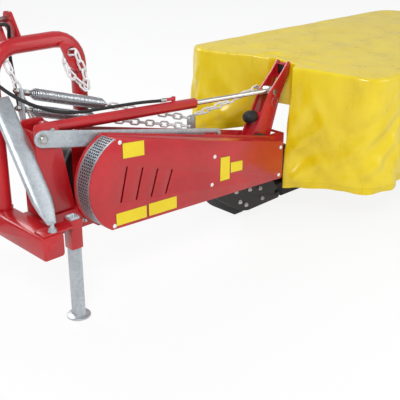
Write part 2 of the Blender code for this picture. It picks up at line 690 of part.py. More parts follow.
def build_carrier(red, black, parent):
    """The welded channel behind the guard, open at the top, with the bearing tube at the drive."""
    back = prism(guard_outline(BACK_LIP), BACK_NEAR_Y, BACK_FAR_Y)
    far = prism(guard_outline(BACK_LIP), FAR_WALL_Y, FAR_WALL_FAR_Y)
    gap = 2 * RUNNING
    rear, front = BACK_FAR_Y + SEAT, FAR_WALL_FAR_Y + OVERRUN
    beam_right = RIGHT_BEAM_X + BEAM / 2 + gap
    trims = [box(DRIVE_X - 2 * GUARD_R, CARRIER_LEFT_X, rear, front, DRIVE_Z - 2 * GUARD_R, DRIVE_Z + 2 * GUARD_R),
             box(CARRIER_LEFT_X - BEAM, beam_right, rear, front, BEAM_Z - BEAM, BEAM_TOP + gap)]
    thick = BACK_PLATE / 2
    floor = prism(((beam_right, guard_low(beam_right) - thick), (GUARD_RIGHT_X, GUARD_RIGHT_LOW - thick),
                   (GUARD_RIGHT_X, GUARD_RIGHT_LOW + thick), (beam_right, guard_low(beam_right) + thick)),
                  BACK_FAR_Y - WELD, FAR_WALL_Y + WELD)
    end = box(GUARD_RIGHT_X - PLATE, GUARD_RIGHT_X, BACK_FAR_Y - WELD, FAR_WALL_Y + WELD,
              GUARD_RIGHT_LOW - thick, PIVOT_Z - HUB_R / 2)
    deck_low = GUARD_RIGHT_TOP - DECK_DROP
    ears = [box(DECK_LEFT_X, DECK_RIGHT_X, a, b, deck_low, GUARD_RIGHT_TOP)
            for a, b in ((BACK_NEAR_Y, BACK_FAR_Y), (FAR_WALL_Y, FAR_WALL_FAR_Y))]
    deck = box(DECK_LEFT_X, DECK_RIGHT_X, BACK_NEAR_Y + WELD, FAR_WALL_FAR_Y - WELD,
               GUARD_RIGHT_TOP - BACK_PLATE, GUARD_RIGHT_TOP + BACK_PLATE / 2)
    slot = box(DECK_LEFT_X - BEAM, DECK_SLOT_X, CYL_Y - ARM_SLOT, CYL_Y + ARM_SLOT,
               GUARD_RIGHT_TOP - DECK_DROP, GUARD_RIGHT_TOP + DECK_DROP)
    hub_hole = rod((PIVOT_X, FAR_WALL_Y - OVERRUN, PIVOT_Z), (PIVOT_X, FAR_WALL_FAR_Y + OVERRUN, PIVOT_Z),
                   HUB_R + RUNNING, 24)
    left, along, _ = limit_frame()
    stud_x, stud_z = left + along * (limit_length() - LIMIT_SLOT_R * 2)
    reach = TOWER_NEAR_Y - BACK_FAR_Y + WELD
    stud = turned(((LIMIT_SLOT_R * 0.8, 0), (LIMIT_SLOT_R * 0.8, reach), (BOLT_R, reach), (BOLT_R, reach + WELD)),
                  (stud_x, BACK_FAR_Y - WELD, stud_z), FORWARD, 12)
    tube = rod((DRIVE_X, BACK_FAR_Y - WELD, DRIVE_Z), (DRIVE_X, FAR_WALL_Y + WELD, DRIVE_Z), HUB_R * 1.4, 20)
    drum_r = 0.5 * (GUARD_R + HUB_R)
    drum_space = turned(((drum_r + gap, 0), (drum_r + gap, PLATE * 1.4 + gap)),
                        (PIVOT_X, BACK_FAR_Y, PIVOT_Z), FORWARD, 28)
    add("carrier_frame", back, red, parent, joined=(far, floor, end, deck, *ears, stud, tube),
        cut=(*trims, slot, hub_hole, drum_space))

    drum = turned(((drum_r, 0), (drum_r, PLATE), (HUB_R * 1.2, PLATE * 1.4)),
                  (PIVOT_X, BACK_FAR_Y + SEAT, PIVOT_Z), FORWARD, 28)
    add("pivot_drum", drum, black, parent)


def build_drive(red, black, steel, parent, shaft):
    """The bearing tube at the headstock, its belt-side cover, the shaft's shield and the splined stub."""
    front = BEAM_FRONT_Y
    tube_r = COLLAR_R * 3
    tube = rod((DRIVE_X, ARCH_Y - ARCH_R, DRIVE_Z), (DRIVE_X, front, DRIVE_Z), tube_r, 24)
    saddle = box(DRIVE_X - tube_r / 2, DRIVE_X + tube_r / 2, ARCH_Y - ARCH_R, front, BEAM_TOP + SEAT,
                 DRIVE_Z - tube_r / 2)
    bore = rod((DRIVE_X, front - HITCH_STUB, DRIVE_Z), (DRIVE_X, front + OVERRUN, DRIVE_Z),
               HITCH_PIN_R * 1.4 + RUNNING, 20)
    add("drive_bearing", tube, red, parent, joined=(saddle,), cut=(bore,))

    low, high = FAR_WALL_FAR_Y + SEAT, ARCH_Y - ARCH_R - SEAT
    bell = turned(((GUARD_R * 0.86, low), (GUARD_R * 0.86, low + PLATE), (GUARD_R * 0.62, (low + high) / 2),
                   (tube_r, high)), (DRIVE_X, 0, DRIVE_Z), FORWARD, 28)
    gap = RUNNING * 2
    beam = box(RIGHT_BEAM_X - BEAM / 2 - gap, RIGHT_BEAM_X + BEAM / 2 + gap, low - OVERRUN, high + OVERRUN,
               BEAM_Z - BEAM, BEAM_TOP + gap)
    cross = box(DRIVE_X - GUARD_R, RIGHT_BEAM_X, low - OVERRUN, CROSS_FRONT_Y + gap, BEAM_Z - BEAM, BEAM_TOP + gap)
    add("drive_cover", bell, black, parent, cut=(beam, cross))

    cup_r = tube_r
    cup_out = turned(((cup_r * 0.92, 0), (cup_r, HITCH_PLATE_HALF * 2)),
                     (DRIVE_X, front + SEAT, DRIVE_Z), FORWARD, 24)
    cup_in = turned(((cup_r * 0.92 - SHEET, SHEET), (cup_r - SHEET, HITCH_PLATE_HALF * 2 + OVERRUN)),
                    (DRIVE_X, front + SEAT, DRIVE_Z), FORWARD, 24)
    shaft_hole = rod((DRIVE_X, front - OVERRUN, DRIVE_Z), (DRIVE_X, front + OVERRUN * 2, DRIVE_Z),
                     HITCH_PIN_R * 1.4 + RUNNING, 20)
    add("pto_shield", cup_out, black, parent, cut=(cup_in, shaft_hole))

    teeth = 6
    spline = []
    for k in range(teeth):
        for share, radius in ((0.0, 1.0), (0.45, 1.0), (0.5, 1.24), (0.95, 1.24)):
            angle = math.tau * (k + share) / teeth
            spline.append((HITCH_PIN_R * radius * math.cos(angle), HITCH_PIN_R * radius * math.sin(angle)))
    journal = rod((DRIVE_X, front - HITCH_STUB + RUNNING, DRIVE_Z), (DRIVE_X, front + PLATE * 2, DRIVE_Z),
                  HITCH_PIN_R * 1.4, 20)
    stub = prism([(DRIVE_X + u, DRIVE_Z + v) for u, v in spline], front + PLATE, front + HITCH_PLATE_HALF * 1.8)
    add("pto_shaft", journal, steel, shaft, joined=(stub,))


def cylinder_point(far, height=0):
    return BASE_EYE + CYL_AXIS * far + CYL_UP * height


def build_cylinder(red, chrome, steel, barrel_axis, rod_axis):
    """The lift cylinder: its barrel turns on the tower's pin, its rod ends in the eye at the arm."""
    barrel = rod(cylinder_point(BASE_EYE_R * 0.8), cylinder_point(BARREL_LENGTH), BARREL_R, 24)
    eye = rod((BASE_X, CYL_Y - BARREL_R, BASE_Z), (BASE_X, CYL_Y + BARREL_R, BASE_Z), BASE_EYE_R, 20)
    sleeves = [rod((BASE_X, a, BASE_Z), (BASE_X, b, BASE_Z), PIN_R * 1.5, 16) for a, b in
               ((TOWER_NEAR_Y + PLATE + RUNNING, CYL_Y), (CYL_Y, TOWER_FAR_Y - PLATE - RUNNING))]
    port = rod(cylinder_point(PORT_ALONG), cylinder_point(PORT_ALONG, PORT_HEIGHT), PORT_R, 12)
    elbow = rod(cylinder_point(PORT_ALONG, PORT_HEIGHT - PORT_R), cylinder_point(PORT_ALONG - PORT_HEIGHT, PORT_HEIGHT - PORT_R),
                PORT_R * 0.8, 12)
    bore = rod(cylinder_point(BASE_EYE_R * 2), cylinder_point(BARREL_LENGTH + OVERRUN), ROD_R + RUNNING, 20)
    pin_hole = rod((BASE_X, TOWER_NEAR_Y - OVERRUN, BASE_Z), (BASE_X, TOWER_FAR_Y + OVERRUN, BASE_Z),
                   PIN_R + RUNNING, 16)
    add("cylinder_barrel", barrel, red, barrel_axis, joined=(eye, *sleeves, port, elbow), cut=(bore, pin_hole))

    piston = rod(cylinder_point(ROD_INNER), cylinder_point(CYL_LENGTH - EYE_R * 0.8), ROD_R, 20)
    half = ARM_GAP / 2 - RUNNING
    eye = rod((EYE_X, CYL_Y - half, EYE_Z), (EYE_X, CYL_Y + half, EYE_Z), EYE_R, 20)
    hole = rod((EYE_X, CYL_Y - ARM_GAP, EYE_Z), (EYE_X, CYL_Y + ARM_GAP, EYE_Z), PIN_R + RUNNING, 16)
    add("cylinder_rod", piston, chrome, rod_axis, joined=(eye,), cut=(hole,))


# The lift arm's plate above its round foot: x, z and corner radius
ARM_FACE = (
    (1.373, 0.462, 0.030), (1.452, 0.690, 0.060), (1.518, 0.800, 0.004), (1.522, 0.850, 0.006),
    (1.506, 0.858, 0.004), (1.462, 0.806, 0.006), (1.372, 0.722, 0.030), (1.308, 0.610, 0.030),
    (1.196, 0.430, 0.020),
)


def arm_outline():
    """The lift arm's plate: a round foot on the pivot, a neck at the eye, a head for the tube."""
    return arc((PIVOT_X, PIVOT_Z), ARM_HUB_R, 190, 328, 9) + rounded(ARM_FACE, 3)


BUFFER_TIP_X = 1.222
BUFFER_BASE_X = 1.297
BUFFER_Z = 0.597
BUFFER_R = 0.035


def build_arm(red, black, steel, arm):
    """The lift arm: two plates on the hub, the web with its rubber buffer, and the eye's pin."""
    outline = arm_outline()
    near = prism(outline, ARM_NEAR_Y - ARM_PLATE, ARM_NEAR_Y)
    far = prism(outline, ARM_FAR_Y, ARM_FAR_Y + ARM_PLATE)
    hub = rod((PIVOT_X, ARM_NEAR_Y - ARM_PLATE / 2, PIVOT_Z), (PIVOT_X, HUB_FRONT_Y, PIVOT_Z), HUB_R, 24)
    face_x = BUFFER_BASE_X
    web = prism(((PIVOT_X, PIVOT_Z + HUB_R * 0.8), (PIVOT_X + PLATE, PIVOT_Z + HUB_R * 0.8),
                 (face_x + PLATE, BUFFER_Z - BUFFER_R), (face_x + PLATE, BUFFER_Z + BUFFER_R * 0.6),
                 (face_x, BUFFER_Z + BUFFER_R * 0.6), (face_x, BUFFER_Z - BUFFER_R)),
                ARM_NEAR_Y - WELD, ARM_FAR_Y + WELD)
    pin_hole = rod((EYE_X, ARM_NEAR_Y - ARM_GAP, EYE_Z), (EYE_X, ARM_FAR_Y + ARM_GAP, EYE_Z), PIN_R + SEAT, 16)
    head_half = TUBE / 2 + RUNNING
    cut_tube = box(TUBE_INNER_X - SEAT, TUBE_INNER_X + 2 * TUBE, CYL_Y - head_half, CYL_Y + head_half,
                   TUBE_Z - head_half, TUBE_Z + head_half)
    head_web = box(TUBE_INNER_X - TUBE / 3, TUBE_INNER_X + TUBE / 3, ARM_NEAR_Y - WELD, ARM_FAR_Y + WELD,
                   TUBE_Z - TUBE / 2 - PLATE, TUBE_Z - TUBE / 2 - RUNNING)
    add("lift_arm", near, red, arm, joined=(far, hub, web, head_web), cut=(pin_hole, cut_tube))

    length = BUFFER_BASE_X - BUFFER_TIP_X - SEAT
    rubber = turned(((BUFFER_R * 0.4, 0), (BUFFER_R * 0.72, length * 0.1), (BUFFER_R * 0.95, length * 0.4),
                     (BUFFER_R * 0.84, length * 0.9), (BUFFER_R * 0.7, length)), (BUFFER_TIP_X, CYL_Y, BUFFER_Z), RIGHT, 20)
    add("rubber_buffer", rubber, black, arm)

    for name, side, face, outer in (("near", -1, ARM_NEAR_Y, ARM_PLATE + PIN_HEAD + WELD / 2),
                                    ("far", 1, ARM_FAR_Y, ARM_CHAIN_Y + LINK_WIDTH / 2 - ARM_FAR_Y)):
        pin = turned(((PIN_R, 0), (PIN_R, ARM_PLATE + SEAT), (PIN_R * 1.3, ARM_PLATE + SEAT),
                      (PIN_R * 1.3, ARM_PLATE + PIN_HEAD), (SHANK_R, ARM_PLATE + PIN_HEAD), (SHANK_R, outer)),
                     (EYE_X, face, EYE_Z), FORWARD * side, 16)
        ring = []
        if side < 0:
            wire = PIN_HEAD / 2
            hang = EYE_Z - PIN_R * 4.4
            y = face - ARM_PLATE - SEAT - wire
            lead = swept([(EYE_X, y, EYE_Z - PIN_R * s) for s in (1.0, 1.8, 2.6)], wire, 6)
            loop = swept([(EYE_X + u, y, hang + v) for u, v in arc((0, 0), PIN_R * 1.9, 0, 330, 11)], wire, 6, closed=True)
            ring = [lead, loop]
        add(f"eye_pin_{name}", pin, steel, arm, joined=ring)


def cover_height(y, below=0):
    """Height of the cover's flat top at a place across it."""
    slope = (COVER_FRONT_Z - COVER_REAR_Z) / (COVER_FRONT_Y - COVER_REAR_Y)
    return COVER_REAR_Z + slope * (y - COVER_REAR_Y) - below


def build_cover_frame(red, black, arm):
    """The main tube from the arm's head, and the cross tubes and rails that carry the tarpaulin."""
    main = prism(square_outline((CYL_Y, TUBE_Z), TUBE, TUBE_WALL), TUBE_INNER_X, COVER_OUTER_X - TUBE * 1.5, "X")
    bore = prism(square_outline((CYL_Y, TUBE_Z), TUBE - 2 * TUBE_WALL, TUBE_WALL / 2),
                 TUBE_INNER_X - OVERRUN, TUBE_INNER_X + TUBE * 3, "X")
    slope = math.atan2(COVER_FRONT_Z - COVER_REAR_Z, COVER_FRONT_Y - COVER_REAR_Y)
    below = COVER_WALL / math.cos(slope) + SEAT
    rear, front = COVER_REAR_Y + 2 * RAIL, COVER_FRONT_Y - 2 * RAIL
    joined = []
    first, last = NOTCH_X + 4 * RAIL, COVER_OUTER_X - 14 * RAIL
    for x in (first, (first + last) / 2, last):
        outline = ((rear, cover_height(rear, below)), (rear, cover_height(rear, below + RAIL)),
                   (front, cover_height(front, below + RAIL)), (front, cover_height(front, below)))
        joined.append(prism(outline, x - RAIL / 2, x + RAIL / 2, "X"))
    for y in (rear, front):
        z = cover_height(y, below + RAIL)
        joined.append(box(first - RAIL, last + RAIL / 2 - WELD, y - RAIL / 2, y + RAIL / 2, z, z + RAIL * 0.8))
    add("cover_frame", main, red, arm, joined=joined, cut=(bore,))

    plug = prism(square_outline((CYL_Y, TUBE_Z), TUBE - 2 * TUBE_WALL - 2 * SEAT, TUBE_WALL / 2),
                 TUBE_INNER_X + PLATE, TUBE_INNER_X + 2 * PLATE, "X")
    add("tube_plug", plug, black, arm)


# The tarpaulin's plan, one corner a line: x, y, height of the hem, its lean along x, radius
COVER_PLAN = (
    (1.340, 0.700, 0.53, 0, 0.040),
    (1.285, 0.600, 0.51, 0, 0),
    (1.500, 0.272, 0.47, 0, 0),
    (1.530, 0.262, 0.61, 0, 0),
    (1.530, 0.095, 0.62, 0, 0),
    (1.460, 0.095, 0.185, -0.055, 0),
    (1.600, -0.360, 0.205, 0, 0.060),
    (3.320, -0.360, 0.235, 0, 0.120),
    (3.500, -0.180, 0.260, 0, 0.120),
    (3.500, 0.400, 0.300, 0, 0.120),
    (3.140, 0.700, 0.370, 0, 0.120),
)


def build_cover(yellow, arm):
    """The tarpaulin: a flat top with skirts, open below, notched round the lift arm."""
    hems = []
    for _, _, hem, lean, radius in COVER_PLAN:
        hems += [(hem, lean)] * (1 if radius == 0 else 4)
    outline = rounded([(x, y, radius) for x, y, _, _, radius in COVER_PLAN], 3)
    shape = bmesh.new()
    top = [shape.verts.new((x, y, cover_height(y))) for x, y in outline]
    low = [shape.verts.new((x + lean, y, hem)) for (x, y), (hem, lean) in zip(outline, hems)]
    for k in range(len(outline)):
        after = (k + 1) % len(outline)
        shape.faces.new((top[k], low[k], low[after], top[after]))
    shape.faces.new(top)
    bmesh.ops.recalc_face_normals(shape, faces=shape.faces)
    if max(shape.faces, key=lambda f: f.calc_area()).normal.z < 0:
        bmesh.ops.reverse_faces(shape, faces=shape.faces)
    mesh = bpy.data.meshes.new("cover")
    shape.to_mesh(mesh)
    shape.free()
    piece = bpy.data.objects.new("cover", mesh)
    bpy.context.collection.objects.link(piece)
    mesh.materials.append(yellow)
    piece.parent = arm
    piece.matrix_parent_inverse = Matrix.Translation(-Vector(arm["place"]))
    wall = piece.modifiers.new("wall", "SOLIDIFY")
    wall.thickness = COVER_WALL
    wall.offset = -1
    wall.use_even_offset = True
    half = TUBE / 2 + RUNNING * 4
    opening = box(NOTCH_X - TUBE, NOTCH_X + TUBE / 2, CYL_Y - half, CYL_Y + half, TUBE_Z - half,
                  cover_height(CYL_Y - half, COVER_WALL * 1.4))
    helper = bpy.data.objects.new("cover_opening", to_mesh("cover_opening", opening))
    bpy.context.collection.objects.link(helper)
    helper.parent = piece
    helper.hide_render = True
    helper.display_type = "WIRE"
    step = piece.modifiers.new("opening", "BOOLEAN")
    step.operation = "DIFFERENCE"
    step.solver = "EXACT"
    step.object = helper


def build_cutter_bar(black, cast, arm):
    """The flat gear bar with a skid under each disc, and the shoes at its two ends."""
    rear, front = DISC_Y - BAR_HALF, DISC_Y + BAR_HALF
    height = BAR_TOP - BAR_LOW
    section = ((rear, BAR_LOW + height * 0.25), (rear + height * 0.4, BAR_LOW), (front - height * 0.5, BAR_LOW),
               (front + height * 0.2, BAR_LOW + height * 0.35), (front + height * 0.2, BAR_LOW + height * 0.6),
               (front - height * 0.5, BAR_TOP), (rear + height * 0.3, BAR_TOP), (rear, BAR_TOP - height * 0.25))
    bar = prism(section, BAR_INNER_X, BAR_OUTER_X, "X")
    runner = ((rear - OVERRUN, SKID_THICK), (rear, 0), (front - height, 0), (front + height * 0.8, BAR_LOW + height * 0.3),
              (front + height * 0.8, BAR_LOW + height * 0.5), (front - height * 1.1, SKID_THICK * 1.2),
              (rear + height * 0.6, SKID_THICK), (rear + height * 0.5, BAR_LOW + WELD),
              (rear + height * 0.2, BAR_LOW + height * 0.3), (rear - OVERRUN, SKID_THICK * 3))
    skids = [prism(runner, x - SKID_HALF, x + SKID_HALF, "X") for x in disc_places()[:-1]]
    add("cutter_bar", bar, black, arm, joined=skids)

    depth = height * 2.2
    for name, low, high in (("inner_shoe", BAR_INNER_X - SEAT - 6 * PLATE, BAR_INNER_X - SEAT),
                            ("outer_shoe", BAR_OUTER_X + SEAT, BAR_OUTER_X + SEAT + 3 * PLATE)):
        view = rounded(((rear - PLATE * 2, 0, height * 0.3), (front, 0, depth), (front + depth * 0.9, BAR_TOP, 0),
                        (front + depth * 0.5, BAR_TOP + PLATE / 3, 0), (rear, BAR_TOP + PLATE / 3, 0),
                        (rear - PLATE * 2, BAR_TOP * 0.7, 0)), 4)
        add(name, prism(view, low, high, "X"), black, arm)


# The hanger plate's face: x, z and corner radius
HANGER_FACE = (
    (1.060, 0.215, 0.012), (1.083, 0.163, 0.020), (1.200, 0.082, 0.100), (1.290, 0.030, 0.030),
    (1.340, 0.020, 0.010), (1.598, 0.026, 0.012), (1.606, 0.058, 0.008), (1.588, 0.064, 0.004),
    (1.568, 0.058, 0.006), (1.560, 0.074, 0.008), (1.584, 0.086, 0.004), (1.540, 0.150, 0.010),
    (1.450, 0.330, 0.040), (1.330, 0.450, 0.040), (1.180, 0.460, 0.040), (1.110, 0.330, 0.060),
)


def build_gearbox(cast, black, arm):
    """The hanger plate on the pivot, and in front of it the bevel gearbox with its drop tube to the bar."""
    low = HUB_FRONT_Y + HANGER + 2 * SEAT
    high = DISC_Y + HUB_R
    drop_x = BAR_INNER_X + HUB_R
    body = rounded(((PIVOT_X - HUB_R * 1.3, PIVOT_Z - HUB_R * 1.6, HUB_R), (drop_x + HUB_R, PIVOT_Z - HUB_R * 2.4, HUB_R * 0.5),
                    (drop_x + HUB_R, PIVOT_Z, HUB_R), (PIVOT_X + HUB_R, PIVOT_Z + HUB_R * 1.3, HUB_R),
                    (PIVOT_X - HUB_R * 1.3, PIVOT_Z + HUB_R * 1.3, HUB_R)), 4)
    housing = prism(body, low + PLATE, high)
    flange = rod((PIVOT_X, low, PIVOT_Z), (PIVOT_X, low + PLATE * 1.5, PIVOT_Z), HUB_R * 1.6, 24)
    cap = rod((PIVOT_X, high - WELD, PIVOT_Z), (PIVOT_X, high + PLATE, PIVOT_Z), HUB_R, 20)
    drop = rod((drop_x, DISC_Y, BAR_TOP + SEAT), (drop_x, DISC_Y, PIVOT_Z - HUB_R * 2), HUB_R * 0.85, 20)
    foot = rod((drop_x, DISC_Y, BAR_TOP + SEAT), (drop_x, DISC_Y, BAR_TOP + PLATE), HUB_R * 0.96, 20)
    add("bevel_gearbox", housing, cast, arm, joined=(flange, cap, drop, foot))

    plate = rounded(HANGER_FACE, 3)
    add("hanger_plate", prism(plate, HUB_FRONT_Y + SEAT, HUB_FRONT_Y + SEAT + HANGER), black, arm)


def disc_places():
    return [DISC_FIRST_X + DISC_PITCH * k for k in range(DISC_COUNT)]


def build_disc(name, tall, finish, axis):
    """One oval disc on its spacer, domed in the middle, with its two knives."""
    centre = Vector(axis["place"])
    top = DISC_LOW + DISC_EDGE
    hat = HAT_TALL if tall else HAT_LOW
    short = DISC_SHORT / DISC_LONG
    spacer = HUB_R * 0.9
    # radius along the long way, height, and how far the section is oval
    sections = ((spacer, BAR_TOP + RUNNING, 0), (spacer, DISC_LOW, 0), (DISC_LONG, DISC_LOW, 1),
                (DISC_LONG, top - DISC_EDGE / 3, 1), (DISC_LONG * 0.8, top + DISC_EDGE / 2, 1), (HAT_R, top + DISC_EDGE, 0.4),
                (HAT_R * 0.9, top + hat * 0.4, 0), (HAT_R * (0.5 if tall else 0.7), top + hat, 0))
    shape = bmesh.new()
    sides = 24
    rings = []
    for radius, height, oval in sections:
        squash = 1 - (1 - short) * oval
        rings.append([shape.verts.new((radius * math.cos(math.tau * k / sides),
                                       radius * squash * math.sin(math.tau * k / sides), height))
                      for k in range(sides)])
    for low, high in zip(rings, rings[1:]):
        for k in range(sides):
            after = (k + 1) % sides
            shape.faces.new((low[k], low[after], high[after], high[k]))
    shape.faces.new(rings[0])
    shape.faces.new(reversed(rings[-1]))
    half = KNIFE_WIDTH / 2
    root = DISC_LONG * 0.72
    knives = []
    for side in (-1, 1):
        blade = [(side * root, -half), (side * KNIFE_REACH, -half * 0.7), (side * KNIFE_REACH, half * 0.7),
                 (side * root, half)]
        knives.append(prism(blade, DISC_LOW - KNIFE_THICK * 0.8, DISC_LOW + KNIFE_THICK * 0.2, "Z"))
    piece = add(name, shape, finish, joined=knives)
    piece.parent = axis
    return piece


def build_discs(black, axes):
    for number, axis in enumerate(axes):
        ends = number in (0, DISC_COUNT - 1)
        piece = build_disc(f"disc_{number + 1}", ends, black, axis)
        piece.rotation_euler.z = math.pi / 2 * (number % 2)


# Where the springs start and end, and where the post stands
SPRING_LEFT_X = 0.018
SPRING_RIGHT_X = 0.395
UPPER_LEFT_Z = 0.930
UPPER_RIGHT_Z = 0.811
SPRING_DROP = 0.072
POST_LEFT_X = 0.868
POST_RIGHT_X = 0.924
POST_TOP_Z = 0.668
POST_LOW_Z = 0.550
POST_HOLE_R = 0.008
POST_HOLE_IN = 0.015
UPPER_HOLE_Z = 0.653
LOWER_HOLE_Z = 0.612
SPRING_BAR_X = -0.026
SPRING_BAR_WIDE = 0.014
SPRING_BAR_DEEP = 0.026
THREAD_R = 0.006
HEX_R = 0.0145
HEX_LONG = 0.030


def build_spring(name, left, right, long_nut, finish, parent):
    """A close-wound tension spring, with a threaded adjuster at the left and a hook at the right."""
    span = right - left
    side, other, along = frame_of(span)
    sides, steps = 8, SPRING_TURNS * 3
    shape = bmesh.new()
    rings = []
    for k in range(steps + 1):
        ring = []
        taper = min(1, 0.42 + 7 * min(k, steps - k) / steps)
        for j in range(sides):
            phase = SPRING_TURNS * k / steps - j / sides
            radius = (SPRING_R - SPRING_WIRE / 2) * taper + SPRING_WIRE / 2 * abs(math.sin(math.pi * phase))
            angle = math.tau * j / sides
            out = side * math.cos(angle) + other * math.sin(angle)
            ring.append(shape.verts.new(left + span * (k / steps) + out * radius))
        rings.append(ring)
    for low, high in zip(rings, rings[1:]):
        for j in range(sides):
            after = (j + 1) % sides
            shape.faces.new((low[j], low[after], high[after], high[j]))
    shape.faces.new(rings[0])
    shape.faces.new(reversed(rings[-1]))
    face = (left.x - SPRING_BAR_X) / along.x
    clear = SPRING_BAR_WIDE / 2 / along.x + HEX_R * abs(along.z) / along.x + SEAT
    nut = HEX_LONG if long_nut else NUT / 2
    hexagon = turned(((HEX_R, face - clear - nut), (HEX_R, face - clear)), left, -along, 6)
    thread = rod(left + along * SPRING_WIRE, left - along * (face + clear + NUT * 1.5), THREAD_R, 10)
    head = turned(((HEX_R * 0.85, face + clear), (HEX_R * 0.85, face + clear + NUT)), left, -along, 6)
    hook_r = SPRING_R * 0.5
    centre = right + along * (hook_r * 1.6)
    hook = [right - along * SPRING_R * 0.5, right]
    hook += [centre + along * (-hook_r * math.cos(math.radians(a))) + side * (hook_r * math.sin(math.radians(a)))
             for a in range(0, 301, 50)]
    add(name, shape, finish, parent, joined=(thread, hexagon, head, swept(hook, SPRING_WIRE / 2, 6)))
    return centre, along


def build_springs(galvanised, steel, parent):
    """The two tension springs between the bar on the tower and the chains to the carrier's post."""
    slope = Vector((SPRING_RIGHT_X - SPRING_LEFT_X, 0, UPPER_RIGHT_Z - UPPER_LEFT_Z))
    lefts = [Vector((SPRING_LEFT_X, SPRING_Y, UPPER_LEFT_Z - drop)) for drop in (0, SPRING_DROP)]
    half = SPRING_BAR_WIDE / 2
    low = TOWER_WEB_TOP + PLATE
    bar = box(SPRING_BAR_X - half, SPRING_BAR_X + half, SPRING_Y - SPRING_BAR_DEEP / 2, SPRING_Y + SPRING_BAR_DEEP / 2,
              low, UPPER_LEFT_Z + SPRING_R)
    foot = box(SPRING_BAR_X - half, SPRING_BAR_X + half, TOWER_FAR_Y + SEAT, SPRING_Y, low, low + 4 * PLATE)
    holes = [rod(left - slope * 0.25, left, THREAD_R + RUNNING, 12) for left in lefts]
    add("spring_bar", bar, galvanised, parent, joined=(foot,), cut=holes)
    ends = []
    for name, left, share, long_nut in (("spring_upper", lefts[0], 1, True), ("spring_lower", lefts[1], 0.84, False)):
        ends.append(build_spring(name, left, left + slope * share, long_nut, galvanised, parent))
    near = FAR_WALL_FAR_Y + SEAT
    post = prism(rounded(((POST_LEFT_X, POST_LOW_Z, 0), (POST_RIGHT_X, POST_LOW_Z, 0), (POST_RIGHT_X, POST_TOP_Z, PLATE),
                          (POST_LEFT_X, POST_TOP_Z, PLATE)), 3), near, near + SHEET)
    holes = [rod((POST_LEFT_X + POST_HOLE_IN, near - OVERRUN, z), (POST_LEFT_X + POST_HOLE_IN, near + OVERRUN, z),
                 POST_HOLE_R, 12) for z in (UPPER_HOLE_Z, LOWER_HOLE_Z)]
    add("chain_post", post, galvanised, parent, cut=holes)
    return ends


# The links' ends on the gusset's chain, and the ends of the headstock's chain: x, y, z
GUSSET_CHAIN = (
    (0.311, 0.284, 0.893), (0.287, 0.2935, 0.921), (0.262, 0.303, 0.948), (0.238, 0.312, 0.976),
    (0.229, 0.3225, 1.018), (0.242, 0.3225, 1.060), (0.262, 0.2805, 1.066), (0.276, 0.278, 1.024),
    (0.293, 0.278, 0.983), (0.304, 0.279, 0.940), (0.311, 0.284, 0.897),
)
HEADSTOCK_CHAIN = ((-0.044, 0.336, 1.0575), (0.054, 0.300, 0.758))


def build_chains(zinc, parent, arm, spring_ends):
    """The chains: from each spring to the post, from the arm towards the post, and two from the arch."""
    post_y = FAR_WALL_FAR_Y + SEAT + SHEET / 2
    hooked = SPRING_R * 0.45 - SPRING_WIRE / 2 - LINK_WIRE / 2 + LINK_WIRE * 0.375 - SEAT
    for name, (centre, axis), z in (("chain_upper", spring_ends[0], UPPER_HOLE_Z),
                                    ("chain_lower", spring_ends[1], LOWER_HOLE_Z)):
        hole = Vector((POST_LEFT_X + POST_HOLE_IN, post_y, z))
        along = (hole - centre).normalized()
        last = hole - along * (LINK_WIRE * 0.375 + WELD)
        chain(name, chain_nodes(centre + axis * hooked, last, even=True), zinc, parent, UP)
    shank = Vector((EYE_X + SHANK_R + SEAT + LINK_WIRE * 0.2, ARM_CHAIN_Y, EYE_Z + WELD / 2))
    free = (POST_RIGHT_X + HEX_LONG, ARM_CHAIN_Y, POST_TOP_Z - POST_HOLE_IN)
    chain("chain_arm", chain_nodes(free, shank, sag=HOSE_R, even=True), zinc, arm, FORWARD)
    chain("chain_gusset", GUSSET_CHAIN, zinc, parent, RIGHT)
    chain("chain_headstock", chain_nodes(*HEADSTOCK_CHAIN), zinc, parent, RIGHT)


# Route points of the two hoses: x, y, z
LIFT_HOSE = (
    (0.6775, 0.180, 0.7963), (0.630, 0.1805, 0.8000), (0.590, 0.183, 0.8045), (0.520, 0.190, 0.8100),
    (0.420, 0.200, 0.8140), (0.310, 0.208, 0.8180), (0.200, 0.210, 0.8260), (0.110, 0.210, 0.8450),
    (0.030, 0.208, 0.876), (-0.060, 0.205, 0.925), (-0.140, 0.204, 0.985), (-0.200, 0.206, 1.050),
    (-0.235, 0.210, 1.120), (-0.245, 0.215, 1.190),
)
VALVE_HOSE = (
    (-0.250, 0.290, 1.200), (-0.200, 0.300, 1.226), (-0.130, 0.320, 1.228), (-0.070, 0.336, 1.214),
    (-0.020, 0.350, 1.204), (0.006, 0.378, 1.184), (0.015, 0.398, 1.140), (0.013, 0.400, 1.070),
    (0.013, 0.390, 1.000), (0.016, 0.386, 0.930), (0.029, 0.385, 0.820), (0.042, 0.380, 0.730),
    (0.050, 0.360, 0.660), (0.050, 0.345, 0.600), (0.050, 0.345, 0.560),
)
COUPLER_R = 0.014
COUPLER = 0.060


def build_hose(name, route, finish, parent):
    """A rubber hose on a smooth curve through its route's points."""
    path = smooth_path(route, 3)
    curve = bpy.data.curves.new(name, "CURVE")
    curve.dimensions = "3D"
    curve.bevel_depth = HOSE_R
    curve.bevel_resolution = 2
    curve.use_fill_caps = True
    spline = curve.splines.new("POLY")
    spline.points.add(len(path) - 1)
    for point, place in zip(spline.points, path):
        point.co = (*place, 1)
    curve.materials.append(finish)
    piece = bpy.data.objects.new(name, curve)
    bpy.context.collection.objects.link(piece)
    piece.parent = parent
    piece.matrix_parent_inverse = Matrix.Translation(-Vector(parent["place"]))


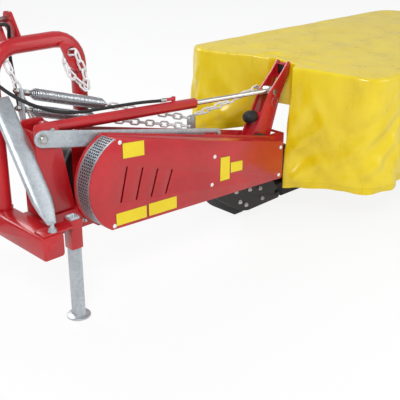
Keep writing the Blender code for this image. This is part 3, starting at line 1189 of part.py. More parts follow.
def build_hoses(black, steel, red, parent, barrel_axis):
    """The two hydraulic hoses with their couplers, and the valve block at the tower's front."""
    build_hose("hose_lift", LIFT_HOSE, black, barrel_axis)
    build_hose("hose_valve", VALVE_HOSE, black, parent)
    for name, route, holder, end in (("coupler_lift", LIFT_HOSE, barrel_axis, -1), ("coupler_valve", VALVE_HOSE, parent, 0)):
        tip = Vector(route[end])
        away = (tip - Vector(route[-2 if end else 1])).normalized()
        body = turned(((COUPLER_R, SEAT * 2), (COUPLER_R, COUPLER * 0.5), (COUPLER_R * 0.75, COUPLER * 0.55),
                       (COUPLER_R * 0.75, COUPLER)), tip, away, 12)
        add(name, body, steel, holder)
    end = Vector(VALVE_HOSE[-1])
    block = box(end.x - 2 * HOSE_R, end.x + 2 * HOSE_R, TOWER_FAR_Y + SEAT, end.y + 2 * HOSE_R,
                end.z - 6 * HOSE_R, end.z - 3 * HOSE_R)
    nipple = rod((end.x, end.y, end.z - 4 * HOSE_R), end - Vector((0, 0, 2 * SEAT)), HOSE_R * 1.3, 10)
    add("valve_block", block, steel, parent, joined=(nipple,))


def build():
    clear_scene()
    red = material("red_paint", RED, 0.35, 0)
    galvanised = material("galvanised_steel", GALVANISED, 0.45, 0.9)
    zinc = material("zinc_plating", ZINC, 0.35, 1)
    black = material("black_paint", BLACK, 0.45, 0)
    rubber = material("black_rubber", BLACK, 0.7, 0)
    cast = material("cast_iron", CAST, 0.6, 0.3)
    chrome = material("chrome_rod", CHROME, 0.2, 1)
    yellow = material("yellow_tarpaulin", YELLOW, 0.3, 0)

    machine = empty("machine", (0, 0, 0))
    stand = empty("stand_axis", (0, 0, SLEEVE_LOW), machine)
    arm = empty("lift_axis", (PIVOT_X, CYL_Y, PIVOT_Z), machine)
    barrel_axis = empty("cylinder_base_axis", BASE_EYE, machine)
    rod_axis = empty("cylinder_eye_axis", (EYE_X, CYL_Y, EYE_Z), barrel_axis)
    shaft = empty("pto_axis", (DRIVE_X, BEAM_FRONT_Y, DRIVE_Z), machine)
    discs = [empty(f"disc_{k + 1}_axis", (x, DISC_Y, 0), arm) for k, x in enumerate(disc_places())]

    build_stand(galvanised, red, machine, stand)
    build_base_frame(red, zinc, machine)
    build_arch(red, zinc, machine)
    build_brace(galvanised, zinc, red, machine)
    build_tower(red, zinc, machine)
    build_limit_bar(galvanised, zinc, machine)
    build_guard(red, galvanised, machine)
    build_carrier(red, black, machine)
    build_drive(red, black, zinc, machine, shaft)
    build_cylinder(red, chrome, zinc, barrel_axis, rod_axis)
    build_arm(red, rubber, zinc, arm)
    build_cover_frame(red, rubber, arm)
    build_cover(yellow, arm)
    build_cutter_bar(black, cast, arm)
    build_gearbox(cast, black, arm)
    build_discs(black, discs)
    ends = build_springs(galvanised, zinc, machine)
    build_chains(zinc, machine, arm, ends)
    build_hoses(rubber, zinc, red, machine, barrel_axis)


build()
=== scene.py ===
# %% [markdown]
# A disc mower hangs on the back of a tractor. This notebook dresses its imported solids: paint and
# zinc, real springs and chains, hoses, a perforated guard strip and the tarpaulin over the discs.
# The solids come in first, because every later piece takes its place from them.

# %% The frame and its box
import json
import math

import bmesh
import bpy
from mathutils import Matrix, Vector, noise


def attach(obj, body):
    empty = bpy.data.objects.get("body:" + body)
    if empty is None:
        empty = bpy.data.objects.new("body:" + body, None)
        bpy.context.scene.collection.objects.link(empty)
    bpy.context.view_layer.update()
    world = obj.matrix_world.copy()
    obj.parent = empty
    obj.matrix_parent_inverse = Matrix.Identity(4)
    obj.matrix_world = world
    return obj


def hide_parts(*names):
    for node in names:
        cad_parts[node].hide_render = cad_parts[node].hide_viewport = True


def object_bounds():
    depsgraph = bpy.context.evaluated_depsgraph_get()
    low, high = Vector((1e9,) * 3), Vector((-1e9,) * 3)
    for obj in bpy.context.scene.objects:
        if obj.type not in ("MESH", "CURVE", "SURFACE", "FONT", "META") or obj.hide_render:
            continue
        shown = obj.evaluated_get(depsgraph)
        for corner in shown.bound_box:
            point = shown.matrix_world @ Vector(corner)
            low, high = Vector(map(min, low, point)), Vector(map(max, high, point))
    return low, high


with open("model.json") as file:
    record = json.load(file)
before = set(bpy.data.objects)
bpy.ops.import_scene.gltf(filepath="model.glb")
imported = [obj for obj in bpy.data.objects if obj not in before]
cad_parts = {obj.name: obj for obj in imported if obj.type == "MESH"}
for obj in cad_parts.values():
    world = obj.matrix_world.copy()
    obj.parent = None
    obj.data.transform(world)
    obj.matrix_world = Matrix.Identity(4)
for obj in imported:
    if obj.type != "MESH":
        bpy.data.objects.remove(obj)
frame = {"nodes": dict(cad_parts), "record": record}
cad_box = [list(corner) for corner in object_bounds()]
UP = Vector((0, 0, 1))
RIGHT = Vector((1, 0, 0))
FORWARD = Vector((0, 1, 0))
print(len(frame["nodes"]), "nodes in", [round(b - a, 3) for a, b in zip(*cad_box)], "m")

# %% [markdown]
# The camera comes next, so that each piece can be judged from the start. It stands behind the
# machine, a little above it, and looks down on the drive guard. A photograph's eye point is found
# from edges whose real directions are known; three axes and a focal length then fix the view.

# %% Camera
def linked(name, data):
    """A new object in the scene."""
    made = bpy.data.objects.new(name, data)
    bpy.context.scene.collection.objects.link(made)
    return made


EYE_POINT = Vector((-1.64, -2.47, 1.75))
LOOK = Vector((0.639, 0.667, -0.383)).normalized()
PICTURE_PIXELS = 400
FOCAL_PIXELS = 776
lens = bpy.data.cameras.new("camera")
lens.sensor_width = 36
lens.lens = FOCAL_PIXELS / PICTURE_PIXELS * lens.sensor_width
camera = linked("camera", lens)
side_axis = LOOK.cross(UP).normalized()
camera.matrix_world = Matrix.Translation(EYE_POINT) @ Matrix(
    (side_axis, side_axis.cross(LOOK), -LOOK)).transposed().to_4x4()
bpy.context.scene.camera = camera
print("lens", round(lens.lens, 1), "mm")

# %% [markdown]
# Sums in a shader are easier to read as Python than as nodes. One small class wraps an output, and
# its operators add Math nodes; another holds a node tree and has one method for every other node.
# The same two classes serve materials and Geometry Nodes.

# %% Node trees written as Python
class Wire:
    """One output of a node tree; sums on it add Math nodes."""

    def __init__(self, tree, socket):
        self.tree, self.socket = tree, socket

    def to(self, operation, *others):
        """This output, and any others, through one Math node, for what has no operator."""
        return self.tree.sum(operation, self, *others)

    def __add__(self, other):
        return self.to("ADD", other)

    def __sub__(self, other):
        return self.to("SUBTRACT", other)

    def __rsub__(self, other):
        return self.tree.sum("SUBTRACT", other, self)

    def __mul__(self, other):
        return self.to("MULTIPLY", other)

    def __truediv__(self, other):
        return self.to("DIVIDE", other)

    def __rtruediv__(self, other):
        return self.tree.sum("DIVIDE", other, self)

    def __gt__(self, other):
        return self.to("GREATER_THAN", other)

    def __lt__(self, other):
        return self.to("LESS_THAN", other)

    __radd__ = __add__
    __rmul__ = __mul__


class Tree:
    """A node tree that grows one call at a time."""

    def __init__(self, node_tree):
        self.node_tree = node_tree
        self.node_tree.nodes.clear()

    def node(self, kind, settings=None, values=None, output=0):
        """Adds a node: its settings first, then its sockets' values or wires."""
        made = self.node_tree.nodes.new(kind)
        for name, value in (settings or {}).items():
            if name == "stops":
                stops = made.color_ramp.elements
                stops.remove(stops[-1])
                stops[0].position, stops[0].color = value[0]
                for place, colour in value[1:]:
                    stops.new(place).color = colour
            else:
                setattr(made, name, value)
        for name, value in (values or {}).items():
            if isinstance(value, Wire):
                self.node_tree.links.new(value.socket, made.inputs[name])
            else:
                made.inputs[name].default_value = value
        return Wire(self, made.outputs[output]) if len(made.outputs) else made

    def sum(self, operation, *values):
        return self.node("ShaderNodeMath", {"operation": operation}, dict(enumerate(values)))

    def part(self, name, vector):
        """One of a vector's X, Y and Z."""
        return self.node("ShaderNodeSeparateXYZ", None, {"Vector": vector}, name)


# %% [markdown]
# A finish on a real machine is never one flat colour. Paint has a faint unevenness and orange peel,
# zinc is patchy, and a galvanised bath leaves crystals. Each finish is a few noises on the piece's
# own coordinates, mixed into colour, roughness and a shallow bump.

# %% Finishes
class Finish(Tree):
    """A material under construction."""

    def __init__(self, name):
        self.material = bpy.data.materials.new(name)
        self.material.use_nodes = True
        super().__init__(self.material.node_tree)
        self.place = self.node("ShaderNodeTexCoord", output="Object")

    def noise(self, scale, detail=3, stretch=(1, 1, 1), where=None):
        place = self.node("ShaderNodeMapping", None, {"Vector": where or self.place, "Scale": stretch})
        return self.node("ShaderNodeTexNoise", None, {"Vector": place, "Scale": scale, "Detail": detail})

    def ramp(self, value, *stops):
        stops = [(place, (*colour, 1)) for place, colour in stops]
        return self.node("ShaderNodeValToRGB", {"stops": stops}, {"Fac": value})

    def mixed(self, share, first, second):
        first, second = ((*c, 1) if isinstance(c, tuple) else c for c in (first, second))
        return self.node("ShaderNodeMix", {"data_type": "RGBA"}, {0: share, 6: first, 7: second}, 2)

    def bump(self, height, strength, depth, under=None):
        """A bump of this depth in metres, over another bump if one is given."""
        values = {"Height": height, "Strength": strength, "Distance": depth}
        if under:
            values["Normal"] = under
        return self.node("ShaderNodeBump", None, values)

    def done(self, colour, roughness, normal=None, **fixed):
        values = {"Base Color": (*colour, 1) if isinstance(colour, tuple) else colour, "Roughness": roughness}
        values.update({name.replace("_", " "): value for name, value in fixed.items()})
        if normal:
            values["Normal"] = normal
        surface = self.node("ShaderNodeBsdfPrincipled", None, values)
        self.node("ShaderNodeOutputMaterial", None, {"Surface": surface})
        return self.material


def enamel(name, dark, light, roughness, coat):
    """Sprayed paint: slow changes of colour, orange peel, and a clear gloss on top."""
    paint = Finish(name)
    cloud = paint.noise(3.5, 4)
    peel = paint.noise(260, 2)
    dust = paint.noise(38, 5)
    colour = paint.ramp(cloud * 0.8 + dust * 0.2, (0.34, dark), (0.66, light))
    return paint.done(colour, dust * 0.10 + (roughness - 0.05), paint.bump(peel, strength=0.06, depth=0.0003),
                      Coat_Weight=coat, Coat_Roughness=0.12)


def bare_metal(name, dark, light, low, high, scale, stretch=(1, 1, 1)):
    """Bare or plated metal with fine scratches and soft patches."""
    metal = Finish(name)
    patches = metal.noise(scale, 5, stretch)
    scratches = metal.noise(190, 3, (1, 1, 7))
    return metal.done(metal.ramp(patches, (0.30, dark), (0.70, light)), patches * (high - low) + low,
                      metal.bump(scratches, strength=0.12, depth=0.0004), Metallic=0.92)


def galvanised(name):
    """Hot-dip zinc: crystals a centimetre across under a dull, streaky bloom."""
    zinc = Finish(name)
    crystals = zinc.node("ShaderNodeTexVoronoi", None, {"Vector": zinc.place, "Scale": 95}, "Color")
    grain = zinc.node("ShaderNodeSeparateColor", None, {"Color": crystals}, "Red")
    bloom = zinc.noise(14, 5, (1, 1, 0.35))
    shade = grain * 0.28 + bloom * 0.72
    colour = zinc.ramp(shade, (0.25, (0.42, 0.46, 0.49)), (0.55, (0.52, 0.56, 0.59)),
                       (0.80, (0.62, 0.66, 0.69)))
    return zinc.done(colour, shade * 0.20 + 0.30, zinc.bump(bloom, strength=0.10, depth=0.0006), Metallic=0.70)


def rubbery(name, shade, roughness, scale):
    """Moulded rubber or plastic with a fine grain."""
    rubber = Finish(name)
    grain = rubber.noise(scale, 3)
    bloom = rubber.noise(20, 4)
    colour = rubber.ramp(bloom, (0.3, (shade * 0.7,) * 3), (0.7, (shade * 1.5, shade * 1.5, shade * 1.6)))
    return rubber.done(colour, bloom * 0.15 + roughness, rubber.bump(grain, strength=0.25, depth=0.0005))


RED = enamel("red_enamel", (0.40, 0.006, 0.010), (0.56, 0.012, 0.018), 0.30, 0.35)
BLACK = enamel("black_enamel", (0.010, 0.010, 0.011), (0.022, 0.022, 0.024), 0.36, 0.2)
CAST = enamel("painted_casting", (0.014, 0.014, 0.015), (0.035, 0.035, 0.037), 0.5, 0.0)
GALVANISED = galvanised("hot_dip_zinc")
SPRING_ZINC = bare_metal("spring_zinc", (0.46, 0.48, 0.50), (0.62, 0.64, 0.66), 0.22, 0.36, 18)
ZINC = bare_metal("bright_zinc", (0.34, 0.34, 0.33), (0.55, 0.55, 0.53), 0.22, 0.36, 24)
CHROME = bare_metal("hard_chrome", (0.62, 0.60, 0.55), (0.78, 0.76, 0.70), 0.08, 0.20, 9, (1, 6, 6))
STEEL = bare_metal("machined_steel", (0.40, 0.40, 0.40), (0.62, 0.61, 0.60), 0.25, 0.45, 60)
RUBBER = rubbery("black_rubber", 0.014, 0.55, 420)
PLASTIC = rubbery("black_plastic", 0.012, 0.40, 700)
STICKER = enamel("yellow_sticker", (0.80, 0.60, 0.0), (0.88, 0.68, 0.01), 0.35, 0.1)
STICKER_INK = enamel("sticker_edge", (0.012, 0.012, 0.012), (0.02, 0.02, 0.02), 0.45, 0.0)
print(len(bpy.data.materials), "materials")

# %% [markdown]
# Rolled and welded steel has no knife edges: every corner has a small radius that catches a line of
# light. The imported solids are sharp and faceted, so each one is copied, its loose triangles are
# merged, its flat faces joined, and its corners bevelled by a millimetre or so.

# %% From a shape to a piece that rides on a body
SHARP_DEGREES = 38


def placed(name, mesh, body, finish, *nodes, smooth=SHARP_DEGREES):
    """Makes a finished piece of a mesh: its material, its soft shading, its body and what it replaces.

    With no finish the piece keeps the one that its mesh has."""
    piece = linked(name, mesh)
    finish = finish or mesh.materials[0]
    mesh.materials.clear()
    mesh.materials.append(finish)
    mesh.shade_smooth()
    mesh.set_sharp_from_angle(angle=math.radians(smooth))
    if nodes:
        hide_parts(*nodes)
    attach(piece, body)
    return piece


def baked(name, piece):
    """The plain mesh that an object's modifiers make; the object goes."""
    bpy.context.view_layer.update()
    made = bpy.data.meshes.new_from_object(piece.evaluated_get(bpy.context.evaluated_depsgraph_get()))
    made.name = name
    bpy.data.objects.remove(piece)
    return made


def settled(name, mesh, modifiers):
    """The mesh after a list of modifiers, each a type and its settings."""
    piece = linked(name, mesh)
    for kind, settings in modifiers:
        step = piece.modifiers.new(kind.lower(), kind)
        for key, value in settings.items():
            setattr(step, key, value)
    return baked(name, piece)


SAME_PLACE, SAME_PLANE = 1e-5, math.radians(0.4)


def merged(node):
    """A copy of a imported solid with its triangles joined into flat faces."""
    shape = bmesh.new()
    shape.from_mesh(frame["nodes"][node].data)
    bmesh.ops.remove_doubles(shape, verts=shape.verts, dist=SAME_PLACE)
    bmesh.ops.dissolve_limit(shape, angle_limit=SAME_PLANE, verts=shape.verts, edges=shape.edges)
    mesh = bpy.data.meshes.new(node)
    shape.to_mesh(mesh)
    shape.free()
    return mesh


def eased(width):
    """The modifier that rounds the sharp corners."""
    return ("BEVEL", {"width": width, "segments": 2, "limit_method": "ANGLE",
                      "angle_limit": math.radians(SHARP_DEGREES)})


BODY_OF = {node: body for body, members in frame["record"]["behaviour"]["bodies"].items() for node in members}
# Finish, width of the rounded corner in metres, and the solids that have them
DRESSED = (
    (RED, 0.0030, ("base_frame", "headstock_arch", "stand_sleeve", "tower", "carrier_frame")),
    (RED, 0.0020, ("lift_arm", "cover_frame", "cylinder_barrel")),
    (GALVANISED, 0.0020, ("arch_brace", "limit_bar", "stand_leg", "chain_post", "spring_bar")),
    (ZINC, 0.0008, ("cylinder_base_pin", "eye_pin_far", "eye_pin_near", "hitch_pin_left", "hitch_pin_right",
                    "limit_bolt", "stand_pin", "top_link_pin", "coupler_lift", "coupler_valve")),
    (BLACK, 0.0020, ("cutter_bar", "hanger_plate", "inner_shoe", "outer_shoe", "pivot_drum", "drive_bearing",
                     "drive_cover", "disc_1", "disc_2", "disc_3", "disc_4", "disc_5")),
    (CAST, 0.0050, ("bevel_gearbox",)),
    (CHROME, 0.0010, ("cylinder_rod",)),
    (STEEL, 0.0010, ("pto_shaft", "valve_block")),
    (RUBBER, 0.0030, ("rubber_buffer",)),
    (PLASTIC, 0.0015, ("tube_plug", "pto_shield")),
)
for finish, width, nodes in DRESSED:
    for node in nodes:
        placed(f"{node}_dressed", settled(node, merged(node), [eased(width)]), BODY_OF[node], finish, node)
print(sum(len(nodes) for _, _, nodes in DRESSED), "solids dressed")

# %% [markdown]
# Small round and tubular pieces are spun from a profile or swept along a path. Sweeping needs a
# frame that doesn't twist: each ring takes over the last one's side, turned as little as it can be.

# %% Turned and swept shapes
def side_of(axis):
    """Two directions square to an axis."""
    side = axis.cross(UP if abs(axis.z) < 0.9 else RIGHT).normalized()
    return side, axis.cross(side).normalized()


def ring_of(shape, centre, side, other, radius, sides):
    """New corners evenly round a centre, in the plane of two directions."""
    angles = (math.tau * k / sides for k in range(sides))
    return [shape.verts.new(centre + (side * math.cos(a) + other * math.sin(a)) * radius) for a in angles]


def skinned(shape, rings):
    """Adds the skin over rings of as many corners each, and closes its two ends."""
    for low, high in zip(rings, rings[1:]):
        for k in range(len(low)):
            shape.faces.new((low[k], low[k - 1], high[k - 1], high[k]))
    shape.faces.new(reversed(rings[0]))
    shape.faces.new(rings[-1])


def slab(shape, outline, front, back):
    """Adds an upright plate over an outline, from one depth to another."""
    skinned(shape, [[shape.verts.new(p + FORWARD * y) for p in outline] for y in (front, back)])


def turned(shape, profile, base, axis, sides):
    """Adds a profile of (radius, distance along the axis) spun round the axis."""
    side, other = side_of(axis)
    skinned(shape, [ring_of(shape, base + axis * far, side, other, radius, sides) for radius, far in profile])


def swept(shape, points, radius, sides):
    """Adds a round bar along a path."""
    side = None
    rings = []
    for before, point, after in zip(points[:1] + points, points, points[1:] + points[-1:]):
        along = (after - before).normalized()
        side = side_of(along)[0] if side is None else (side - along * side.dot(along)).normalized()
        rings.append(ring_of(shape, point, side, along.cross(side), radius, sides))
    skinned(shape, rings)


def as_mesh(name, shape):
    """The finished mesh of a bmesh, with its faces outwards."""
    bmesh.ops.recalc_face_normals(shape, faces=shape.faces)
    mesh = bpy.data.meshes.new(name)
    shape.to_mesh(mesh)
    shape.free()
    return mesh


# %% [markdown]
# What repeats is made by Geometry Nodes. A tree is built here with named inputs for its sizes, put
# on a small starting mesh as a modifier, evaluated once, and the result is kept as a plain mesh.

# %% Geometry Nodes as a tool
class Grown(Tree):
    """A Geometry Nodes tree with one geometry input and named sizes."""

    def __init__(self, name):
        self.group = bpy.data.node_groups.new(name, "GeometryNodeTree")
        self.sockets = {}
        super().__init__(self.group)
        for way in ("INPUT", "OUTPUT"):
            self.group.interface.new_socket("Geometry", in_out=way, socket_type="NodeSocketGeometry")

    def size(self, name, kind="Float"):
        socket = self.group.interface.new_socket(name, in_out="INPUT", socket_type=f"NodeSocket{kind}")
        self.sockets[name] = socket.identifier
        return self.node("NodeGroupInput", output=name)

    def start(self):
        return self.node("NodeGroupInput", output="Geometry")

    def attribute(self, name):
        """The vector of this name on each point."""
        return self.node("GeometryNodeInputNamedAttribute", {"data_type": "FLOAT_VECTOR"}, {"Name": name})

    def vector(self, **parts):
        return self.node("ShaderNodeCombineXYZ", None, parts)

    def moved(self, shape, **move):
        return self.node("GeometryNodeTransform", None, {"Geometry": shape, **move})

    def joined(self, *shapes):
        """One geometry of several; they all go into the same socket."""
        whole = self.node("GeometryNodeJoinGeometry")
        for shape in shapes:
            self.node_tree.links.new(shape.socket, whole.socket.node.inputs[0])
        return whole

    def wire(self, path, radius, sides):
        """A round wire along a path, closed at its ends."""
        ring = self.node("GeometryNodeCurvePrimitiveCircle", {"mode": "RADIUS"},
                         {"Resolution": sides, "Radius": radius})
        return self.node("GeometryNodeCurveToMesh", None,
                         {"Curve": path, "Profile Curve": ring, "Fill Caps": True})

    def on_points(self, shape, **values):
        """The shape on each point of the starting mesh."""
        values.update({"Points": self.start(), "Instance": shape})
        return self.node("GeometryNodeInstanceOnPoints", None, values)

    def looking_out(self, shape):
        """The shape on each point, its height along the point's own direction."""
        turn = self.node("FunctionNodeAlignRotationToVector", {"axis": "Z"}, {"Vector": self.attribute("out")})
        return self.on_points(shape, Rotation=turn)

    def finish(self, geometry, finish):
        real = self.node("GeometryNodeRealizeInstances", None, {"Geometry": geometry})
        painted = self.node("GeometryNodeSetMaterial", None, {"Geometry": real, "Material": finish})
        self.node("NodeGroupOutput", None, {"Geometry": painted})

    def grow(self, name, mesh, **sizes):
        """The plain mesh that the tree makes on a starting mesh with these sizes."""
        piece = linked(name, mesh)
        step = piece.modifiers.new(name, "NODES")
        step.node_group = self.group
        for key, value in sizes.items():
            step[self.sockets[key.replace("_", " ")]] = value
        return baked(name, piece)


def points_mesh(name, places, **attributes):
    """Loose points with one vector of each named attribute a point."""
    mesh = bpy.data.meshes.new(name)
    mesh.from_pydata([tuple(place) for place in places], [], [])
    for key, rows in attributes.items():
        layer = mesh.attributes.new(key, "FLOAT_VECTOR", "POINT")
        for item, row in zip(layer.data, rows):
            item.vector = row
    return mesh


# %% [markdown]
# Screws hold nearly everything here. One tree makes a hexagon head with a chamfer on a washer and a
# thread end, and puts it on points that carry the direction in which the screw looks out.

# %% Hexagon screws
screws = Grown("hexagon_screws")
across, tall = screws.size("Radius"), screws.size("Height")
# Kind, share of the head's height at which the middle lies, and sizes as shares of its radius and height
SCREW_PARTS = (
    ("Cylinder", 0.125, {"Vertices": 24, "Radius": across * 1.35, "Depth": tall * 0.25}),
    ("Cylinder", 0.65, {"Vertices": 6, "Radius": across, "Depth": tall * 0.8}),
    ("Cone", 1.05, {"Vertices": 24, "Radius Bottom": across * 0.93, "Radius Top": across * 0.80,
                    "Depth": tall * 0.12}),
    ("Cylinder", 1.35, {"Vertices": 14, "Radius": across * 0.5, "Depth": tall * 0.4}),
)
washer_to_thread = [screws.moved(screws.node(f"GeometryNodeMesh{kind}", None, sizes, "Mesh"),
                                 Translation=screws.vector(Z=tall * middle))
                    for kind, middle, sizes in SCREW_PARTS]
screws.finish(screws.looking_out(screws.joined(*washer_to_thread)), ZINC)


def set_out(tree, name, body, face_y, spots, **sizes):
    """Sets a tree's shape on every (x, z) of an upright face, looking back towards the camera."""
    start = points_mesh(name, [(x, face_y, z) for x, z in spots], out=[-FORWARD] * len(spots))
    placed(name, tree.grow(name, start, **sizes), body, None)
    print(name, len(spots))


HANGER_FACE_Y, HANGER_SCREW_R, HANGER_SCREW_TALL = 0.2450, 0.009, 0.009
HANGER_SCREWS = ((1.235, 0.160), (1.345, 0.145), (1.268, 0.091), (1.432, 0.128), (1.452, 0.062),
                 (1.318, 0.060), (1.130, 0.200))
set_out(screws, "hanger_screws", "mower", HANGER_FACE_Y, HANGER_SCREWS,
        Radius=HANGER_SCREW_R, Height=HANGER_SCREW_TALL)

# %% [markdown]
# The drive guard is a pressed pan. Slanted slots through its face let warm air out of the belt's
# space. They are cut with a Boolean, so that they are real openings with walls.

# %% The guard with its slots
GUARD_FACE_Y, GUARD_WALL, GUARD_CORNER = 0.0100, 0.004, 0.0016
# The first slot's foot and the step to the next, its height and lean, and its half width, in metres
SLOT_X, SLOT_LOW_Z, SLOT_STEP, SLOT_RISE, SLOT_LEAN, SLOT_HALF = 0.262, 0.452, 0.086, 0.150, 0.040, 0.0045
# How much lower each next slot starts, and how much less it rises
SLOT_FALL, SLOT_LOSS = 0.010, 0.016
SLOT_COUNT, SLOT_END_STEPS = 4, 8
shape = bmesh.new()
for k in range(SLOT_COUNT):
    low = Vector((SLOT_X + k * SLOT_STEP, 0, SLOT_LOW_Z - SLOT_FALL * k))
    high = low + Vector((SLOT_LEAN, 0, SLOT_RISE - SLOT_LOSS * k))
    along_slot = (high - low).normalized() * SLOT_HALF
    across_slot = (high - low).cross(FORWARD).normalized() * SLOT_HALF
    ring = []
    for centre, first in ((low, math.pi), (high, 0)):
        for step in range(SLOT_END_STEPS + 1):
            angle = first + math.pi * step / SLOT_END_STEPS
            ring.append(centre + across_slot * math.cos(angle) + along_slot * math.sin(angle))
    slab(shape, ring, GUARD_FACE_Y - GUARD_WALL, GUARD_FACE_Y + 2 * GUARD_WALL)
cutter = linked("slot_cutter", as_mesh("slot_cutter", shape))
guard = settled("belt_guard", merged("belt_guard"), [
    ("BOOLEAN", {"operation": "DIFFERENCE", "solver": "EXACT", "object": cutter}), eased(GUARD_CORNER)])
bpy.data.objects.remove(cutter)
placed("belt_guard_dressed", guard, "machine", RED, "belt_guard")
print(SLOT_COUNT, "slots through", len(guard.polygons), "faces")

# %% [markdown]
# Round-headed rivets hold the guard, and yellow stickers with a thin dark edge sit on its face. Both
# are thin, but they are real shapes, because a sticker's edge catches light.

# %% Rivets and stickers
rivets = Grown("round_rivets")
dome = rivets.node("GeometryNodeMeshUVSphere", None,
                   {"Segments": 20, "Rings": 12, "Radius": rivets.size("Radius")}, "Mesh")
RIVET_R, RIVET_FLATNESS = 0.010, 0.55
rivets.finish(rivets.looking_out(rivets.moved(dome, Scale=(1, 1, RIVET_FLATNESS))), ZINC)
RIVETS = ((0.834, 0.521), (0.816, 0.382), (0.268, 0.722), (0.222, 0.350), (1.310, 0.305), (1.318, 0.456))
set_out(rivets, "guard_rivets", "machine", GUARD_FACE_Y, RIVETS, Radius=RIVET_R)

# Corners of each sticker on the guard's face, x and z, in metres
STICKERS = (
    ((0.280, 0.645), (0.402, 0.634), (0.402, 0.704), (0.280, 0.716)),
    ((0.230, 0.346), (0.406, 0.338), (0.406, 0.397), (0.230, 0.405)),
    ((0.415, 0.338), (0.588, 0.330), (0.588, 0.390), (0.415, 0.399)),
    ((0.870, 0.383), (0.938, 0.380), (0.938, 0.502), (0.873, 0.509)),
    ((0.942, 0.410), (1.030, 0.404), (1.030, 0.457), (0.942, 0.466)),
)
STICKER_THICK, STICKER_EDGE = 0.0004, 0.0025


def sticker_plates(margin, thick):
    """Thin plates on the guard's face, each a sticker with a margin taken off."""
    shape = bmesh.new()
    for corners in STICKERS:
        ring = [Vector((x, 0, z)) for x, z in corners]
        middle = sum(ring, Vector()) / len(ring)
        ring = [p + (middle - p).normalized() * margin for p in ring]
        slab(shape, ring, GUARD_FACE_Y - thick, GUARD_FACE_Y + STICKER_THICK)
    return as_mesh("stickers", shape)


placed("sticker_edges", sticker_plates(0, STICKER_THICK), "machine", STICKER_INK)
placed("stickers", sticker_plates(STICKER_EDGE, 2 * STICKER_THICK), "machine", STICKER)
print(len(STICKERS), "stickers")

# %% [markdown]
# Round the guard's left end runs a perforated strip, so that the pulley can be seen and cooled. Each
# hole is one small cell with a round opening; the cells lie in a flat sheet that is then bent round
# the pulley's axis. Alternate rows are moved half a hole, as on punched sheet.

# %% The perforated strip
DRIVE_X, DRIVE_Z, GUARD_R = 0.324, 0.527, 0.225
STRIP_FROM, STRIP_TO = math.radians(110), math.radians(237)
STRIP_LOW_Y, STRIP_HIGH_Y, STRIP_EDGE, STRIP_WALL = 0.0143, 0.1037, 0.006, 0.0022
# Holes along the strip and across it, a hole's radius as a share of its cell, and a hole's corners
ROWS, COLUMNS, HOLE_SHARE, HOLE_SIDES = 38, 6, 0.41, 12
SQUARE = ((1, 1), (-1, 1), (-1, -1), (1, -1))
cell_long = (STRIP_TO - STRIP_FROM) * GUARD_R / ROWS
cell_wide = (STRIP_HIGH_Y - STRIP_LOW_Y - 2 * STRIP_EDGE) / COLUMNS

shape = bmesh.new()
for row in range(ROWS):
    shift = cell_wide * (0.25 if row % 2 else -0.25)
    for column in range(COLUMNS):
        middle = Vector(((row + 0.5) * cell_long, (column + 0.5) * cell_wide + shift, 0))
        outer = [shape.verts.new(middle + Vector((x * cell_long / 2, y * cell_wide / 2, 0)))
                 for x, y in SQUARE]
        hole = [shape.verts.new(middle + Vector((math.cos(a), math.sin(a), 0)) * cell_wide * HOLE_SHARE)
                for a in (math.tau * (k + 0.5) / HOLE_SIDES for k in range(HOLE_SIDES))]
        for corner in range(4):
            near = [hole[(3 * corner + j) % HOLE_SIDES] for j in range(4)]
            shape.faces.new((outer[corner], near[2], near[1], near[0]))
            shape.faces.new((outer[corner], outer[(corner + 1) % 4], near[3], near[2]))
bmesh.ops.remove_doubles(shape, verts=shape.verts, dist=SAME_PLACE)
flat_sheet = as_mesh("strip_sheet", shape)

strip = Grown("bent_strip")
bend_r, first_angle = strip.size("Radius"), strip.size("First Angle")
place = strip.node("GeometryNodeInputPosition")
angle = strip.part("X", place) / bend_r + first_angle
bent = strip.vector(X=angle.to("COSINE") * bend_r + DRIVE_X, Z=angle.to("SINE") * bend_r + DRIVE_Z,
                    Y=strip.part("Y", place) + (STRIP_LOW_Y + STRIP_EDGE))
strip.finish(strip.node("GeometryNodeSetPosition", None, {"Geometry": strip.start(), "Position": bent}),
             GALVANISED)
SHEET_THICK = STRIP_WALL * 0.6
bent_mesh = strip.grow("bent_strip", flat_sheet, Radius=GUARD_R - STRIP_WALL / 2, First_Angle=STRIP_FROM)
bent_mesh = settled("perforated_strip", bent_mesh, [("SOLIDIFY", {"thickness": SHEET_THICK, "offset": 0})])
placed("perforated_strip", bent_mesh, "machine", GALVANISED, "guard_strip")

# A plain rim along each edge covers the cut cells of the rows that are moved
RIM_STEPS, RIM_INNER_R = 40, GUARD_R - STRIP_WALL
rim_wide = STRIP_EDGE + cell_wide * 0.3
shape = bmesh.new()
for low in (STRIP_LOW_Y, STRIP_HIGH_Y - rim_wide):
    high = low + rim_wide
    rings = []
    for k in range(RIM_STEPS + 1):
        a = STRIP_FROM + (STRIP_TO - STRIP_FROM) * k / RIM_STEPS
        spoke = Vector((math.cos(a), 0, math.sin(a)))
        rings.append([shape.verts.new(Vector((DRIVE_X, y, DRIVE_Z)) + spoke * r) for r, y in (
            (GUARD_R, low), (GUARD_R, high), (RIM_INNER_R, high), (RIM_INNER_R, low))])
    skinned(shape, rings)
placed("strip_rims", as_mesh("strip_rims", shape), "machine", GALVANISED)
print(ROWS * COLUMNS, "holes in the strip")
